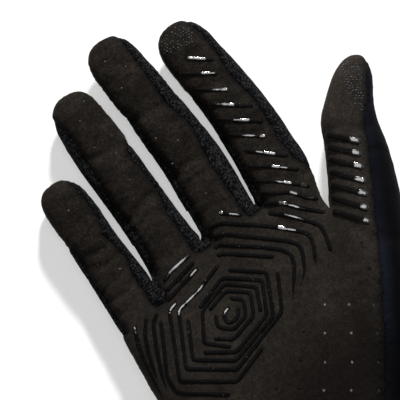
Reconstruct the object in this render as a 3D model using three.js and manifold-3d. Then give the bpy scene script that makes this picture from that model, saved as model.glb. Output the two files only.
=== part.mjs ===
// A right-hand long-finger sport glove, lying on its back with the palm up, hollow, as an assembly of
// sewn panels with a raised grip print. Millimetres, +Z up, fingers along +Y, thumb on the +X side.
//
// Every limb (the hand, four fingers and the thumb) is a loft of rounded sections. The outer lofts are
// joined, the inner ones are taken out of them, and that shell is cut along the seams into its panels.
import * as THREE from "three";
import { mergeVertices } from "three/addons/utils/BufferGeometryUtils.js";
import Module from "manifold-3d";

const wasm = await Module();
wasm.setup();

// Driving dimensions
const WALL = 1.6; // fabric with its lining and seam allowance
const SEAM_GAP = 0.3; // between neighbouring panels
const FLOOR_PRESS = 0.8; // how far the rounded back is flattened where it rests
const PANEL_HEM_Y = -78; // where the panels meet the cuff
const BINDING_Y = -98; // where the cuff meets its binding
const THUMB_ANGLE = THREE.MathUtils.degToRad(33); // thumb's own frame, turned from the fingers
const RIB_TAPER = 0.7; // its top's width over its foot's width
const RIB_CORNER = 1.2; // how much of each side is cut off at a rib's corners
const HOLE_RADIUS = 0.6; // of the air holes in the heel of the palm
const HOLE_SIDES = 6;
const REACH = 200; // of the cutting solids, each way from the middle

// Superellipse powers of the sections
const HAND_POWER = 3;
const FINGER_POWER = 2.4;
const UNDER_POWER = 3.2;
const HAND_CAP_POWER = 2.6;
const THUMB_CAP_POWER = 1.8;

// The height of the widest line of the hand and fingers, which the side seams follow
const MID_COLUMNS = ["y", "z"];
const MID_ROWS = [
  [-110, 11.2],
  [-40, 10.6],
  [20, 9.2],
  [60, 8.7],
  [90, 9.8],
  [112, 11.2],
];

// Sections of each limb, in its own frame. left and right are the widest points in plan, top and bottom
// the crown and the underside. leftSide and rightSide are how much of the plan width the side strips
// take on each side, and WRAPPED there means that the palm fabric runs on round the edge. The tip is
// rounded from capFrom on. around is the number of points in a section, and the loft inside, which is
// coarser, has insideAround points and steps over insideStep rows.
const WRAPPED = -3;
const LIMB_COLUMNS = ["y", "left", "right", "top", "bottom", "leftSide", "rightSide"];
const HAND = {
  capFrom: 10,
  tip: 26,
  capPower: HAND_CAP_POWER,
  power: HAND_POWER,
  around: 24,
  insideAround: 14,
  insideStep: 1,
  rows: [
    [-102, -37.5, 37.5, 22.5, -FLOOR_PRESS, WRAPPED, WRAPPED],
    [-78, -36.2, 36.4, 22.2, -FLOOR_PRESS, WRAPPED, WRAPPED],
    [-60, -39.6, 42.0, 23.6, -FLOOR_PRESS, WRAPPED, WRAPPED],
    [-38, -43.6, 48.8, 24.2, -FLOOR_PRESS, WRAPPED, WRAPPED],
    [-14, -45.0, 52.0, 22.8, -FLOOR_PRESS, WRAPPED, WRAPPED],
    [10, -43.4, 48.8, 18.6, -FLOOR_PRESS, WRAPPED, WRAPPED],
    [26, -43.0, 48.4, 17.4, -FLOOR_PRESS, WRAPPED, WRAPPED],
  ],
};
const FINGERS = {
  pinky: {
    capFrom: 62,
    tip: 73.5,
    rows: [
      [4, -43.1, -22.6, 16.2, -FLOOR_PRESS, 2, 4.6],
      [16, -43.0, -22.7, 16.2, -FLOOR_PRESS, 2, 4.4],
      [28, -42.8, -22.9, 15.2, -0.6, 2, 4.5],
      [37, -42.8, -23.7, 14.2, -0.2, 2, 2.5],
      [48, -42.7, -24.6, 14.8, 0.4, 2, 3.8],
      [53, -42.4, -24.5, 14.7, 0.8, 0, 2.6],
      [62, -42.3, -24.9, 14.9, 1.4, WRAPPED, 2.1],
      [73.5, -42.9, -25.4, 15.4, 2.4, WRAPPED, 3.4],
    ],
  },
  ring: {
    capFrom: 87,
    tip: 99.6,
    rows: [
      [4, -21.8, 0.6, 17.6, -FLOOR_PRESS, 3.6, 4.6],
      [20, -21.5, 0.9, 17.6, -FLOOR_PRESS, 0.8, 4.6],
      [32, -21.1, 0.7, 16.6, -0.7, 3.3, 4.0],
      [42, -21.1, 0, 16.0, -0.4, 3.7, 3.8],
      [50, -21.3, -0.3, 15.4, -0.1, 2.8, 2],
      [60, -21.8, -0.8, 16.0, 0.6, 2.8, 2],
      [70, -22.6, -1.5, 15.8, 1.1, 4.3, 2],
      [76, -22.6, -1.6, 15.2, 1.5, 4.2, WRAPPED],
      [87, -22.1, -2.4, 16.0, 2.4, 3.4, WRAPPED],
      [99.6, -21.6, -2.8, 16.2, 3.6, -2.4, WRAPPED],
    ],
  },
  middle: {
    capFrom: 97,
    tip: 110,
    rows: [
      [4, 3.2, 26.0, 18.2, -FLOOR_PRESS, 2.0, 5.4],
      [20, 3.0, 26.0, 18.0, -FLOOR_PRESS, 2.0, 5.2],
      [32, 3.0, 26.2, 17.0, -0.7, 2.2, 5.5],
      [44, 3.1, 26.7, 16.6, -0.3, 2.8, 6.4],
      [52, 3.6, 26.6, 15.8, 0, 3.0, 6.1],
      [65, 3.3, 25.3, 16.4, 0.8, 2.0, 3.6],
      [77, 3.0, 24.0, 15.5, 1.6, 2.0, 5.4],
      [86, 1.9, 23.1, 16.2, 2.4, WRAPPED, 4.8],
      [97, 1.2, 21.1, 16.2, 3.4, WRAPPED, 3.3],
      [110, 1.4, 20.0, 16.6, 4.6, WRAPPED, 3.2],
    ],
  },
  index: {
    capFrom: 87,
    tip: 100,
    rows: [
      [4, 27.0, 47.6, 17.8, -FLOOR_PRESS, 2.4, WRAPPED],
      [18, 27.0, 49.2, 17.8, -FLOOR_PRESS, 2.4, WRAPPED],
      [26, 27.2, 50.9, 17.3, -0.7, 2.3, -0.3],
      [33, 27.4, 51.6, 16.8, -0.5, 2.2, 3.6],
      [42, 28.0, 51.5, 16.2, -0.2, 2.2, 4.6],
      [50, 28.3, 51.7, 15.6, 0.1, 2.0, 4.2],
      [60, 28.7, 51.3, 16.3, 0.7, 2.0, 4.2],
      [71, 28.2, 49.9, 15.5, 1.4, 2.0, 4.9],
      [79, 27.5, 48.7, 15.8, 1.9, WRAPPED, 3.9],
      [87, 26.7, 47.3, 16.0, 2.6, WRAPPED, 2.8],
      [100, 26.2, 45.8, 16.4, 3.8, WRAPPED, 4.4],
    ],
  },
};
// The thumb's frame is turned by THUMB_ANGLE. Its rightSide is measured to the seam of the palm fabric.
const THUMB = {
  capFrom: 77,
  tip: 92.6,
  capPower: THUMB_CAP_POWER,
  capShift: 1.6,
  power: FINGER_POWER,
  around: 16,
  insideAround: 10,
  insideStep: 2,
  turned: true,
  rows: [
    [-46, 52.0, 65.0, 20.0, 1, WRAPPED, 8.4],
    [-32, 49.0, 71.4, 24.2, -FLOOR_PRESS, WRAPPED, 15.2],
    [-8, 44.0, 69.4, 26.6, -FLOOR_PRESS, WRAPPED, 13.7],
    [14, 38.6, 66.4, 27.0, -0.5, WRAPPED, 12.0],
    [30, 35.6, 64.2, 25.6, 0.6, WRAPPED, 11.4],
    [43, 35.1, 61.9, 24.4, 2.0, WRAPPED, 10.4],
    [56, 33.9, 58.3, 23.4, 3.4, WRAPPED, 8.2],
    [68, 32.6, 53.8, 22.6, 4.8, WRAPPED, 5.4],
    [77, 34.2, 51.9, 22.0, 5.6, WRAPPED, 3.0],
    [92.6, 34.8, 52.0, 21.6, 7.4, WRAPPED, 3.6],
  ],
};
const ALL_FINGERS = {
  capPower: HAND_CAP_POWER,
  power: FINGER_POWER,
  around: 14,
  insideAround: 10,
  insideStep: 2,
};

// Where the knit webs between the fingers end on the palm: the two corners at the bottom of each
const WEBS = [
  { before: "pinky", after: "ring", leftX: -26.2, rightX: -21.9, y: 13.8 },
  { before: "ring", after: "middle", leftX: -1.4, rightX: 3.2, y: 22.2 },
  { before: "middle", after: "index", leftX: 21.8, rightX: 26.4, y: 23.4 },
];
const WEB_CORNER = 2; // how far above its bottom a web has its full width

// Where the seams of the hand's two edges begin, and how far outlines run outside the glove
const PINKY_EDGE = { x: -45, y: 10, seamY: 12 };
const INDEX_EDGE = { x: 50.9, palmY: 27, backY: 24, seamY: 24 };
const OUTSIDE = 8;
const TIP_CLEARANCE = 6;

// The palm's outline round the thumb, in the thumb's frame, and its corner at the heel, in the hand's
const THUMB_INSIDE = [33 - OUTSIDE / 2, 66];
const THUMB_TIP_LEFT = 34;
const HEEL_CORNER = [24.5, PANEL_HEM_Y + 4];
const HEEL_END = [23.5, PANEL_HEM_Y - OUTSIDE];

// The seam on the back between the main back panel and the thumb panel, from the crotch to the cuff
const BACK_SEAM = [
  [51.5, 13],
  [44, 0],
  [38, -20],
  [31, -45],
  [24, -66],
  [21, -84],
];

// The raised print. Each rib is named, with the corners of its path in the frame of its group. A
// group's gap is left between its ribs and the fabric, and its step is their longest straight length.
const RIB_GROUPS = {
  palm: { width: 1.4, height: 0.6, gap: 0.35, turned: false, step: 6 },
  index: { width: 1.2, height: 0.7, gap: 0.45, turned: false, step: 4 },
  thumb: { width: 1.9, height: 0.8, gap: 0.55, turned: true, step: 3.6 },
};
const PALM_RIBS = {
  hexagon_1: [[-3, -0.7], [-6.5, -1.8], [-7.8, -3.8], [-6, -5.6], [-3, -5.9], [-1.3, -4.8], [0, -2.6]],
  hexagon_2: [[-9, -0.3], [-11, -4.5], [-6.5, -8.7], [0.3, -7], [2.8, -1.3], [-1.2, 1.9]],
  hexagon_3: [[-10.2, 2.2], [-1, 5], [6.5, -0.5], [2.7, -8.7], [-8.5, -11.8], [-14.5, -7.5]],
  hexagon_4: [[5.8, -8.8], [9.5, 0], [0, 7.5], [-12.5, 3.5], [-18.6, -7], [-10.7, -13.8]],
  hexagon_5: [[-13, 4.9], [0.5, 9.9], [12.8, 1], [7, -11], [-10, -16.4], [-20.8, -9.8]],
  hexagon_6: [[4, 11.2], [15.8, 2.5], [9, -12.5], [-12, -19], [-25.5, -10], [-18.8, 3.7]],
  hexagon_7: [[19.3, 0.5], [12.5, -13], [-13.5, -22], [-29.5, -11.5], [-20, 8.5], [-9, 10.8], [1.8, 14.7]],
  heel_1: [[-0.9, -20.3], [-16, -25.8], [-34, -14], [-23, 10.3], [-18.8, 11.5]],
  heel_2: [[-20.8, -28.5], [-36, -18.2], [-37.4, -16], [-37.1, -10], [-31.8, 0.5], [-27.8, 8.8]],
  side_1: [[-27.2, 12.1], [-30.6, 9.8], [-34.8, 0.9], [-38.3, -8.3], [-40, -13.7]],
  side_2: [[-31.8, 12.8], [-35.6, 7.8], [-38.3, 0.9], [-40.2, -6], [-41, -9.5]],
  side_3: [[-37.2, 12.8], [-39.5, 6.7], [-41, 0.9], [-42.5, -10.6], [-43, -15.6]],
  ring_1: [[-21.5, 13.8], [-5, 18]],
  ring_2: [[-20, 17], [-5, 20.7]],
  ring_3: [[-19, 20.5], [-15, 22.3], [-4.5, 24]],
  arc_1: [[3.3, 17.7], [5.5, 17.6], [21.3, 5.9]],
  arc_2: [[4, 20.6], [6.5, 20.9], [20, 11], [25.5, 6.3], [27.2, 3], [26, -1], [18.5, -11.3]],
  arc_3: [[6, 23.8], [8, 24.1], [11, 22.8], [20, 15.3], [29, 8], [31.5, 5], [31.5, 2], [28, -5], [24.2, -8.4]],
  arc_4: [[6.2, 27.7], [9, 28.2], [12, 27.2], [27, 15.8], [34, 9.3], [37, 6], [36.5, 2], [33, -4.8]],
  arc_5: [[28.3, 20.8], [34, 16.5], [40, 9.5], [42.5, 6], [42, 2], [40.5, -4]],
  arc_6: [[29, 24.6], [35, 21.2], [40, 15.5], [46.6, 9.4]],
  middle: [[12.8, 31.3], [19.8, 25.5]],
};
const INDEX_RIBS = [
  [[34.2, 87], [42.8, 80.7]],
  [[29.4, 82.9], [41.3, 75.6]],
  [[30.6, 75], [41.5, 68]],
  [[32.7, 67.2], [45.8, 58]],
  [[31.6, 61.1], [45.8, 51]],
  [[31.2, 54.4], [43.8, 45.5]],
  [[33.9, 45.8], [46.4, 35]],
  [[31.8, 39.8], [38.5, 35.5], [47.2, 28.4]],
  [[30.4, 33.8], [36, 30.5], [42, 25.5], [47.3, 20.8]],
  [[30.2, 29.1], [34.5, 26], [39.5, 23.3], [44, 17.8], [47.2, 15]],
];
const THUMB_RIBS = [
  [[35.9, 62.3], [46.4, 60.1]],
  [[36.3, 57.6], [46.9, 55.3]],
  [[36.8, 52.9], [47.7, 50.4]],
  [[37.2, 48.3], [48.6, 45.2]],
  [[37.6, 43.5], [49.4, 40.1]],
  [[38, 38.5], [49.9, 34.9]],
  [[38.6, 33.4], [50.6, 29.8]],
];

// Air holes, in the thumb's frame
const HOLE_ROWS = [
  { y: 21.6, xs: [47.2] },
  { y: 11.7, xs: [50.3] },
  { y: -1.3, xs: [33.7, 42.8, 52] },
  { y: -12, xs: [25.4, 33.7, 43.6, 53.4] },
  { y: -23, xs: [24.6, 33.7, 43.9, 53.8] },
  { y: -33.6, xs: [15.2, 23.9, 33.3, 43.6, 54] },
  { y: -44, xs: [5, 14.5, 23.9, 33.6, 43.6] },
  { y: -54.5, xs: [5, 14.5, 24, 33.6] },
];
const DRILL_BOTTOM = 14; // in the hollow, under the palm's wall
const DRILL_TOP = 40;

// Tables

// Turns rows into one smooth function for each named column, by the column called "y".
function curves(columns, rows) {
  const ys = rows.map((row) => row[0]);
  const made = {};
  columns.slice(1).forEach((name, at) => {
    const values = rows.map((row) => row[at + 1]);
    made[name] = (y) => cubic(ys, values, y);
  });
  return made;
}

function cubic(ys, values, y) {
  const last = ys.length - 1;
  if (y <= ys[0]) return values[0];
  if (y >= ys[last]) return values[last];
  let i = 0;
  while (y > ys[i + 1]) i += 1;
  const slope = (k) => {
    const a = Math.max(0, k - 1);
    const b = Math.min(last, k + 1);
    return (values[b] - values[a]) / (ys[b] - ys[a]);
  };
  const step = ys[i + 1] - ys[i];
  const t = (y - ys[i]) / step;
  return (
    values[i] * (1 + 2 * t) * (1 - t) ** 2 +
    slope(i) * step * t * (1 - t) ** 2 +
    values[i + 1] * t * t * (3 - 2 * t) +
    slope(i + 1) * step * t * t * (t - 1)
  );
}

const midHeight = curves(MID_COLUMNS, MID_ROWS).z;
const LIMBS = { hand: HAND, ...FINGERS, thumb: THUMB };
for (const finger of Object.values(FINGERS)) {
  Object.assign(finger, ALL_FINGERS);
}
for (const limb of Object.values(LIMBS)) {
  limb.at = curves(LIMB_COLUMNS, limb.rows);
}

// From the thumb's frame to the hand's frame
const toHand = (x, y) => [
  x * Math.cos(THUMB_ANGLE) + y * Math.sin(THUMB_ANGLE),
  -x * Math.sin(THUMB_ANGLE) + y * Math.cos(THUMB_ANGLE),
];

// One section of a limb at its station y, made smaller by inset, and shrunk inside the rounded tip.
function section(limb, y, inset) {
  const capLength = limb.tip - limb.capFrom - inset;
  const past = Math.min(1, Math.max(0, (y - limb.capFrom) / capLength));
  const shrink = Math.max(0, 1 - past ** limb.capPower) ** (1 / limb.capPower);
  const { left, right, top, bottom } = limb.at;
  const mid = limb.turned ? (top(y) + bottom(y)) / 2 : midHeight(y);
  return {
    centre: (left(y) + right(y)) / 2 + (limb.capShift ?? 0) * past ** 2,
    half: ((right(y) - left(y)) / 2 - inset) * shrink,
    mid,
    above: (top(y) - mid - inset) * shrink,
    below: (mid - bottom(y) - inset) * shrink,
  };
}

// The palm is a little hollow between the pads at the thumb's root and under the little finger.
const HOLLOW = { x: 2, y: -14, halfWidth: 30, halfLength: 48, depth: 2.6 };
function hollow(x, y) {
  const across = ((x - HOLLOW.x) / HOLLOW.halfWidth) ** 2;
  const along = ((y - HOLLOW.y) / HOLLOW.halfLength) ** 2;
  return HOLLOW.depth * Math.exp(-across - along);
}

// Solids

function toSolid(geometry) {
  const bare = new THREE.BufferGeometry();
  bare.setAttribute("position", geometry.getAttribute("position"));
  if (geometry.index) bare.setIndex(geometry.index);
  const merged = mergeVertices(bare, 1e-4);
  return new wasm.Manifold(
    new wasm.Mesh({
      numProp: 3,
      vertProperties: merged.attributes.position.array,
      triVerts: new Uint32Array(merged.index.array),
    }),
  );
}

// Skins a stack of closed rings, with a flat or pointed cap at each end.
function skin(rings) {
  const around = rings[0].length;
  const points = rings.flat();
  const faces = [];
  for (let r = 0; r + 1 < rings.length; r += 1) {
    for (let k = 0; k < around; k += 1) {
      const a = r * around + k;
      const b = r * around + ((k + 1) % around);
      faces.push(a, a + around, b, b, a + around, b + around);
    }
  }
  [0, rings.length - 1].forEach((r) => {
    const hub = points.length;
    const centre = [0, 1, 2].map((c) => rings[r].reduce((sum, p) => sum + p[c], 0) / around);
    points.push(centre);
    for (let k = 0; k < around; k += 1) {
      const a = r * around + k;
      const b = r * around + ((k + 1) % around);
      if (r) faces.push(a, hub, b);
      else faces.push(b, hub, a);
    }
  });
  const geometry = new THREE.BufferGeometry();
  geometry.setAttribute("position", new THREE.Float32BufferAttribute(points.flat(), 3));
  geometry.setIndex(faces);
  return toSolid(geometry);
}

// Where the rounded tip has its sections, as shares of its length
const CAP_STEPS = [0.5, 0.8, 0.96];
const INSIDE_CAP_STEPS = [0.8, 0.96];

// The loft of a limb. With an inset it is the coarser one inside, and it starts lower by startOverrun.
function limbSolid(limb, inset, startOverrun) {
  const inside = inset > 0;
  const around = inside ? limb.insideAround : limb.around;
  const rowStep = inside ? limb.insideStep : 1;
  const capSteps = inside ? INSIDE_CAP_STEPS : CAP_STEPS;
  const stations = limb.rows
    .map((row) => row[0])
    .filter((y, i) => y === limb.capFrom || (y < limb.capFrom && i % rowStep === 0));
  stations[0] -= startOverrun;
  capSteps.forEach((step) => stations.push(limb.capFrom + step * (limb.tip - limb.capFrom - inset)));
  const rings = stations.map((y) => {
    const s = section(limb, y, inset);
    const ring = [];
    for (let k = 0; k < around; k += 1) {
      const angle = (2 * Math.PI * (k + 0.5)) / around;
      const up = Math.sin(angle) > 0;
      const power = up ? limb.power : UNDER_POWER;
      const cos = Math.cos(angle);
      const sin = Math.sin(angle);
      const x = s.centre + s.half * Math.sign(cos) * Math.abs(cos) ** (2 / power);
      const height = Math.abs(sin) ** (2 / power);
      const [hx, hy] = limb.turned ? toHand(x, y) : [x, y];
      const z = up ? s.mid + s.above * height - hollow(hx, hy) * height : s.mid - s.below * height;
      ring.push([hx, hy, z]);
    }
    return ring;
  });
  return skin(rings);
}

// A prism over a closed outline in plan, between two heights.
function prism(outline, low, high) {
  const shape = new THREE.Shape(outline.map(([x, y]) => new THREE.Vector2(x, y)));
  const depth = high - low;
  const geometry = new THREE.ExtrudeGeometry(shape, { depth, bevelEnabled: false });
  return toSolid(geometry.translate(0, 0, low));
}

// All that lies above, or below, the height of the side seams plus an offset.
function halfSpace(above, offset) {
  const edge = MID_ROWS.map(([y, z]) => [y, z + offset]);
  edge[0][0] = -REACH;
  edge[edge.length - 1][0] = REACH;
  const far = above ? REACH : -REACH;
  edge.push([REACH, far], [-REACH, far]);
  const shape = new THREE.Shape(edge.map(([y, z]) => new THREE.Vector2(y, z)));
  const geometry = new THREE.ExtrudeGeometry(shape, { depth: 2 * REACH, bevelEnabled: false });
  // the profile's x and y become the glove's y and z
  geometry.applyMatrix4(new THREE.Matrix4().set(0, 0, 1, -REACH, 1, 0, 0, 0, 0, 1, 0, 0, 0, 0, 0, 1));
  return toSolid(geometry);
}

function block(lowY, highY, lowZ) {
  const geometry = new THREE.BoxGeometry(2 * REACH, highY - lowY, 2 * REACH);
  return toSolid(geometry.translate(0, (lowY + highY) / 2, lowZ + REACH));
}

// Seams in plan

function seamPoint(limb, side, y) {
  const { left, right, leftSide, rightSide } = limb.at;
  const x = side === "left" ? left(y) + leftSide(y) : right(y) - rightSide(y);
  return limb.turned ? toHand(x, y) : [x, y];
}

// The seam on one side of a limb, from its root to its tip
function seamPoints(limb, side) {
  return limb.rows.map((row) => seamPoint(limb, side, row[0]));
}

// Up one side of each finger, over its tip and down the other, through the webs
function fingerOutline() {
  const outline = [];
  Object.entries(FINGERS).forEach(([name, finger]) => {
    const webBefore = WEBS.find((web) => web.after === name);
    const webAfter = WEBS.find((web) => web.before === name);
    const leftFloor = webBefore ? webBefore.y + WEB_CORNER : PINKY_EDGE.seamY;
    const rightFloor = webAfter ? webAfter.y + WEB_CORNER : INDEX_EDGE.seamY;
    const left = seamPoints(finger, "left");
    const right = seamPoints(finger, "right").reverse();
    outline.push(...left.filter(([, y]) => y > leftFloor));
    outline.push([left.at(-1)[0], finger.tip + TIP_CLEARANCE]);
    outline.push([right[0][0], finger.tip + TIP_CLEARANCE]);
    outline.push(...right.filter(([, y]) => y > rightFloor));
    if (webAfter) outline.push([webAfter.leftX, webAfter.y], [webAfter.rightX, webAfter.y]);
  });
  return outline;
}

function pinkyEdge() {
  return [
    [PINKY_EDGE.x - OUTSIDE, PANEL_HEM_Y - OUTSIDE],
    [PINKY_EDGE.x - OUTSIDE, PINKY_EDGE.y],
  ];
}

function palmOutline() {
  const tipSeamX = THUMB.at.right(THUMB.tip) - THUMB.at.rightSide(THUMB.tip);
  return [
    ...pinkyEdge(),
    ...fingerOutline(),
    [INDEX_EDGE.x + OUTSIDE / 2, INDEX_EDGE.palmY],
    toHand(...THUMB_INSIDE),
    toHand(THUMB_TIP_LEFT, THUMB.tip + OUTSIDE),
    toHand(tipSeamX, THUMB.tip + OUTSIDE),
    ...seamPoints(THUMB, "right").reverse(),
    HEEL_CORNER,
    HEEL_END,
  ];
}

function backOutline() {
  return [
    ...pinkyEdge(),
    ...fingerOutline(),
    [INDEX_EDGE.x + OUTSIDE / 2, INDEX_EDGE.backY],
    ...BACK_SEAM,
  ];
}

// Moves a clockwise outline outward by a distance.
const SHARPEST = 0.8; // limits how far a sharp corner moves
function grow(outline, distance) {
  const count = outline.length;
  return outline.map((point, i) => {
    const before = outline[(i + count - 1) % count];
    const after = outline[(i + 1) % count];
    const normals = [
      [before, point],
      [point, after],
    ].map(([a, b]) => {
      const length = Math.hypot(b[0] - a[0], b[1] - a[1]);
      return [-(b[1] - a[1]) / length, (b[0] - a[0]) / length];
    });
    const sum = [normals[0][0] + normals[1][0], normals[0][1] + normals[1][1]];
    const scale = (2 * distance) / Math.max(SHARPEST, sum[0] ** 2 + sum[1] ** 2);
    return [point[0] + sum[0] * scale, point[1] + sum[1] * scale];
  });
}

// The shell and its panels

const MOUTH_OVERRUN = 10; // how far the hollow runs out of the cuff
const SMALLEST_SIDE = 20; // volume of the smallest piece that isn't a crumb of the cuts

const join = (solids) => solids.reduce((all, solid) => all.add(solid));
const limbs = Object.values(LIMBS);
const outer = join(limbs.map((limb) => limbSolid(limb, 0, 0))).intersect(block(-REACH, REACH, 0));
const inner = join(limbs.map((limb) => limbSolid(limb, WALL, limb === HAND ? MOUTH_OVERRUN : 0)));
const shell = outer.subtract(inner.intersect(block(-REACH, REACH, WALL)));

const hand = shell.intersect(block(PANEL_HEM_Y + SEAM_GAP / 2, REACH, -REACH));
const cuff = shell.intersect(block(BINDING_Y + SEAM_GAP / 2, PANEL_HEM_Y - SEAM_GAP / 2, -REACH));
const binding = shell.intersect(block(-REACH, BINDING_Y - SEAM_GAP / 2, -REACH));

function column(outline, above, offset) {
  return prism(outline, -REACH, REACH).intersect(halfSpace(above, above ? offset : -offset));
}

function biggest(solid) {
  return solid.decompose().reduce((best, piece) => (piece.volume() > best.volume() ? piece : best));
}

const palmPanel = biggest(hand.intersect(column(palmOutline(), true, SEAM_GAP / 2)));
const backPanel = biggest(hand.intersect(column(backOutline(), false, SEAM_GAP / 2)));
const sides = hand
  .subtract(column(grow(palmOutline(), SEAM_GAP), true, -SEAM_GAP / 2))
  .subtract(column(grow(backOutline(), SEAM_GAP), false, -SEAM_GAP / 2))
  .decompose()
  .filter((piece) => piece.volume() > SMALLEST_SIDE);

// The side piece whose middle in plan is nearest to a point
function sideNear(x, y) {
  const distance = (piece) => {
    const box = piece.boundingBox();
    return Math.hypot((box.min[0] + box.max[0]) / 2 - x, (box.min[1] + box.max[1]) / 2 - y);
  };
  return sides.reduce((best, piece) => (distance(piece) < distance(best) ? piece : best));
}

function drill(x, y) {
  const geometry = new THREE.CylinderGeometry(
    HOLE_RADIUS,
    HOLE_RADIUS,
    DRILL_TOP - DRILL_BOTTOM,
    HOLE_SIDES,
  );
  return toSolid(geometry.rotateX(Math.PI / 2).translate(x, y, (DRILL_TOP + DRILL_BOTTOM) / 2));
}

const holes = join(HOLE_ROWS.flatMap(({ y, xs }) => xs.map((x) => drill(...toHand(x, y)))));

// The finished group

// The side pieces, each with a point in plan near its middle
const SIDE_PANELS = [
  { name: "pinky_side", x: -42, y: 33, material: "knit" },
  { name: "pinky_ring_fourchette", x: -24, y: 50, material: "knit" },
  { name: "ring_middle_fourchette", x: 1, y: 55, material: "knit" },
  { name: "middle_index_fourchette", x: 25, y: 65, material: "knit" },
  { name: "index_side", x: 48, y: 62, material: "knit" },
  { name: "thumb_panel", x: 60, y: -10, material: "stretch" },
];

const glove = new THREE.Group();
const FABRIC = { roughness: 0.9, metalness: 0 };
const MATERIALS = {
  suede: new THREE.MeshStandardMaterial({ color: 0x231f1c, ...FABRIC }),
  knit: new THREE.MeshStandardMaterial({ color: 0x1b1d20, ...FABRIC }),
  stretch: new THREE.MeshStandardMaterial({ color: 0x10121a, roughness: 0.55, metalness: 0 }),
  back: new THREE.MeshStandardMaterial({ color: 0x4a5236, ...FABRIC }),
  cuff: new THREE.MeshStandardMaterial({ color: 0x17181a, ...FABRIC }),
  print: new THREE.MeshStandardMaterial({ color: 0x0c0c0c, roughness: 0.25, metalness: 0 }),
};

function toGeometry(solid) {
  const mesh = solid.getMesh();
  const geometry = new THREE.BufferGeometry();
  geometry.setAttribute("position", new THREE.BufferAttribute(new Float32Array(mesh.vertProperties), 3));
  geometry.setIndex(new THREE.BufferAttribute(new Uint32Array(mesh.triVerts), 1));
  geometry.computeVertexNormals();
  return geometry;
}

function addSolid(name, solid, material) {
  const node = new THREE.Mesh(toGeometry(solid), material);
  node.name = name;
  glove.add(node);
}

addSolid("palm_panel", palmPanel.subtract(holes), MATERIALS.suede);
addSolid("back_panel", backPanel, MATERIALS.back);
SIDE_PANELS.forEach(({ name, x, y, material }) => {
  addSolid(name, sideNear(x, y), MATERIALS[material]);
});
addSolid("cuff", cuff, MATERIALS.cuff);
addSolid("cuff_binding", binding, MATERIALS.cuff);

// The raised print, laid along the palm panel as it is before its holes are cut
const cloth = new THREE.Mesh(toGeometry(palmPanel), new THREE.MeshBasicMaterial({ side: THREE.DoubleSide }));
const ray = new THREE.Raycaster();
function clothAt(x, y) {
  ray.set(new THREE.Vector3(x, y, REACH), new THREE.Vector3(0, 0, -1));
  const [hit] = ray.intersectObject(cloth);
  return hit ? hit.point : new THREE.Vector3(x, y, 0);
}

// A path with each corner cut across, and long stretches divided
function ribPath(corners, step) {
  const points = corners.map(([x, y]) => new THREE.Vector2(x, y));
  const path = [points[0]];
  for (let i = 1; i + 1 < points.length; i += 1) {
    [points[i - 1], points[i + 1]].forEach((other) => {
      const cut = Math.min(RIB_CORNER, points[i].distanceTo(other) / 3);
      path.push(points[i].clone().add(other.clone().sub(points[i]).setLength(cut)));
    });
  }
  path.push(points[points.length - 1]);
  return path.flatMap((point, i) => {
    const next = path[i + 1];
    if (!next) return [point];
    const count = Math.ceil(point.distanceTo(next) / step);
    return Array.from({ length: count }, (_, k) => point.clone().lerp(next, k / count));
  });
}

// A rib is a ribbon with sloping sides that keeps its gap to the highest cloth near each station.
function addRib(name, corners, group) {
  const path = ribPath(corners.map(([x, y]) => (group.turned ? toHand(x, y) : [x, y])), group.step);
  const reach = group.width / 2;
  const rings = path.map((point, i) => {
    const before = path[Math.max(0, i - 1)];
    const after = path[Math.min(path.length - 1, i + 1)];
    const along = after.clone().sub(before).normalize();
    const side = new THREE.Vector2(along.y, -along.x);
    const sample = (forward, sideways) =>
      clothAt(
        point.x + along.x * forward + side.x * sideways,
        point.y + along.y * forward + side.y * sideways,
      );
    const middle = sample(0, 0);
    const across = sample(0, reach).sub(sample(0, -reach)).normalize();
    const up = across.clone().cross(new THREE.Vector3(along.x, along.y, 0)).normalize();
    const lifts = [-group.step / 2, 0, group.step / 2].flatMap((forward) =>
      [-reach, 0, reach].map((sideways) => sample(forward, sideways).sub(middle).dot(up)),
    );
    const base = Math.max(...lifts) + group.gap;
    return [
      [-reach, base],
      [reach, base],
      [reach * RIB_TAPER, base + group.height],
      [-reach * RIB_TAPER, base + group.height],
    ].map(([offset, lift]) =>
      middle.clone().addScaledVector(across, offset).addScaledVector(up, lift).toArray(),
    );
  });
  addSolid(name, skin(rings), MATERIALS.print);
}

Object.entries(PALM_RIBS).forEach(([name, corners]) => {
  addRib(`palm_rib_${name}`, corners, RIB_GROUPS.palm);
});
INDEX_RIBS.forEach((corners, i) => addRib(`index_rib_${i + 1}`, corners, RIB_GROUPS.index));
THUMB_RIBS.forEach((corners, i) => addRib(`thumb_rib_${i + 1}`, corners, RIB_GROUPS.thumb));

// The origin is under the middle of the glove's box, on the surface that it lies on.
const box = new THREE.Box3().setFromObject(glove);
const middle = box.getCenter(new THREE.Vector3());
glove.position.set(-middle.x, -middle.y, -box.min.z);

export default glove;
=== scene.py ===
# A right-hand long-finger sport glove lying palm up: the fine surface of its suede palm, knit strips,
# stretch thumb and raised silicone print, over the solids of the frame.
import math
from contextlib import contextmanager
from functools import cache

import bmesh
import bpy
import numpy as np
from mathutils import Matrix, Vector, noise
from mathutils.bvhtree import BVHTree


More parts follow.
